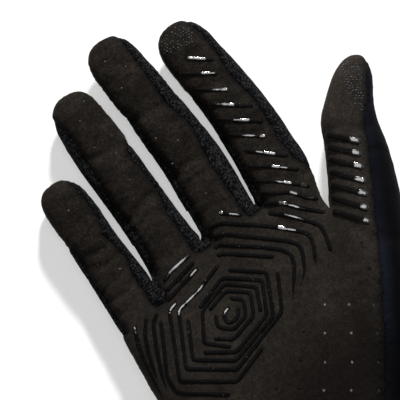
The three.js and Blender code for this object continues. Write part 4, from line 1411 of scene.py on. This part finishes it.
def worn_print(name, dark, light):
    """Matt from wear, but for the glossy spots."""
    s = Shader(name, Roughness=0.75, Specular_IOR_Level=0.06, Coat_Roughness=0.16, Coat_IOR=2.4)
    spot = s.stored("gloss")
    uneven = s.times(s.minus(s.noise(0.8, 3, 0.7), 0.5), 1.9)
    ragged = s.times(s.plus(s.times(spot, 1.3), uneven), s.spread(spot, 0.0, 0.05))
    s.tree.links.new(s.spread(ragged, 0.2, 0.34), s.out.inputs["Coat Weight"])
    # Pale specks painted into the print's colour as small glints.
    glint_specks = s.times(s.spread(s.noise(0.45, 1, 0.5), 0.7, 0.76), s.spread(s.noise(7, 2), 0.45, 0.6))
    s.colour(s.mix(glint_specks, s.mix(s.noise(1.6, 3, 0.7), dark, light), (92, 89, 85)))
    s.bump(s.noise(0.9, 3, 0.6), 0.04, 0.5)
    return s.material


@cache
def palm_print():
    return worn_print("palm_print", (2, 2, 2), (8, 7, 7))


@cache
def finger_print():
    return worn_print("finger_print", (5, 4, 4), (17, 15, 14))


@cache
def touch_print():
    s = Shader("touch_print", Roughness=0.45, Specular_IOR_Level=0.35)
    s.colour(s.mix(s.spread(s.noise(1.6, 2, 0.7), 0.35, 0.65), (16, 16, 17), (60, 62, 64)))
    s.bump(s.noise(0.4, 2), 0.04, 0.5)
    return s.material


# The air holes show their pale mesh best at this x of the thumb's frame, and less and less away from it.
# Higher up than MESH_HIDDEN_FROM they show none.
MESH_SHOWS_AT = 40.5
MESH_SHOWS_WITHIN = (3.5, 15.0)
MESH_HIDDEN_FROM = 5.0


@cache
def hole_mesh():
    s = Shader("hole_mesh", Roughness=0.9, Specular_IOR_Level=0.2)
    aside, upward = s.thumb_place()
    distance = s.math("ABSOLUTE", s.minus(aside, MESH_SHOWS_AT))
    shows = s.times(
        s.spread(distance, *reversed(MESH_SHOWS_WITHIN)),
        s.math("LESS_THAN", upward, MESH_HIDDEN_FROM),
        s.spread(s.noise(5, 1), 0.3, 0.7, 0.6, 1.0),
    )
    heel = s.mix(shows, (42, 42, 40), (182, 182, 178))
    fingers = s.spread(s.parts(s.place())[1], 8, 20)
    # On the fingers the mesh under the holes is pale in some patches and dark in others.
    patchy = s.mix(s.spread(s.noise(7, 2), 0.42, 0.62), (18, 16, 15), (110, 107, 103))
    s.colour(s.mix(fingers, heel, patchy))
    s.bump(s.noise(0.4, 2), 0.1, 0.6)
    return s.material


@cache
def thread():
    s = Shader("thread", Roughness=0.6, Sheen_Weight=0.1)
    s.colour(s.mix(s.noise(0.3, 2), (12, 12, 14), (30, 30, 34)))
    return s.material


# Floor, light and camera, set as the photograph has them

FRAME_WIDTH = 151.5  # what the photograph shows across, in millimetres
FRAME_CENTRE = (9.5, 39.0)  # in the hand's frame
CAMERA_HEIGHT = 1.4
SENSOR_WIDTH = 36
FOCUS_HEIGHT = 0.012
FLOOR_REACH = 3.0
FLOOR_DROP = 0.0001
FLOOR_GLOW = 0.44
FLOOR_ALBEDO = 0.6
LIGHTS_AIM = (5, 30, 10)
# name, direction to the image's right and up, elevation, distance and size in metres, watts
LIGHTS = [
    ("key", 0.04, 1.0, 28, 1.3, 0.12, 29.0),
    ("overhead", -0.35, 1.0, 82, 1.7, 0.8, 5.2),
    ("fill", -1.0, 0.15, 32, 1.6, 0.9, 3.4),
]
WORLD_LIGHT = 0.12


def image_direction(right, up, elevation):
    """A unit vector towards a light that stands to the image's right and up, at an elevation in degrees."""
    x, y = to_hand(*Vector((right, up)).normalized())
    e = math.radians(elevation)
    return Vector((x * math.cos(e), y * math.cos(e), math.sin(e)))


def add_floor():
    mesh = bpy.data.meshes.new("floor")
    corners = [(x * FLOOR_REACH, y * FLOOR_REACH, 0) for x, y in ((-1, -1), (1, -1), (1, 1), (-1, 1))]
    mesh.from_pydata(corners, [], [(0, 1, 2, 3)])
    floor = linked("floor", mesh)
    floor.location.z = -FLOOR_DROP
    s = Shader("floor", Roughness=1.0, Specular_IOR_Level=0.0, Base_Color=(FLOOR_ALBEDO,) * 3 + (1,),
               Emission_Color=(1, 1, 1, 1), Emission_Strength=FLOOR_GLOW)
    mesh.materials.append(s.material)


def add_lights():
    for name, right, up, elevation, distance, size, power in LIGHTS:
        data = bpy.data.lights.new(name, "AREA")
        data.shape = "RECTANGLE"
        data.size = data.size_y = size
        data.energy = power
        light = linked(name, data)
        away = image_direction(right, up, elevation)
        light.location = Vector(to_row(LIGHTS_AIM)) + away * distance
        light.rotation_euler = away.to_track_quat("Z", "Y").to_euler()
    world = bpy.data.worlds.new("studio")
    world.use_nodes = True
    background = world.node_tree.nodes["Background"]
    background.inputs["Color"].default_value = (1, 1, 1, 1)
    background.inputs["Strength"].default_value = WORLD_LIGHT
    bpy.context.scene.world = world


def add_camera():
    data = bpy.data.cameras.new("camera")
    data.sensor_width = SENSOR_WIDTH
    data.lens = SENSOR_WIDTH * CAMERA_HEIGHT / (FRAME_WIDTH * MM)
    data.clip_start, data.clip_end = 0.05, 10
    camera = linked("camera", data)
    x, y, _ = to_row((*FRAME_CENTRE, 0))
    camera.location = (x, y, FOCUS_HEIGHT + CAMERA_HEIGHT)
    camera.rotation_euler = (0, 0, -TURN)
    bpy.context.scene.camera = camera


def main():
    add_camera()
    add_floor()
    add_lights()
    skin = glove_skin()
    surface = Cloth(skin)
    whole_palm = make_panels(skin)
    cloth = Cloth(whole_palm)
    bpy.data.objects.remove(whole_palm)
    make_ribs(cloth)
    make_touch_dots(cloth)
    make_hole_backing(cloth)
    make_hem_stitches(surface)
    bpy.context.scene.view_settings.view_transform = "Standard"


main()
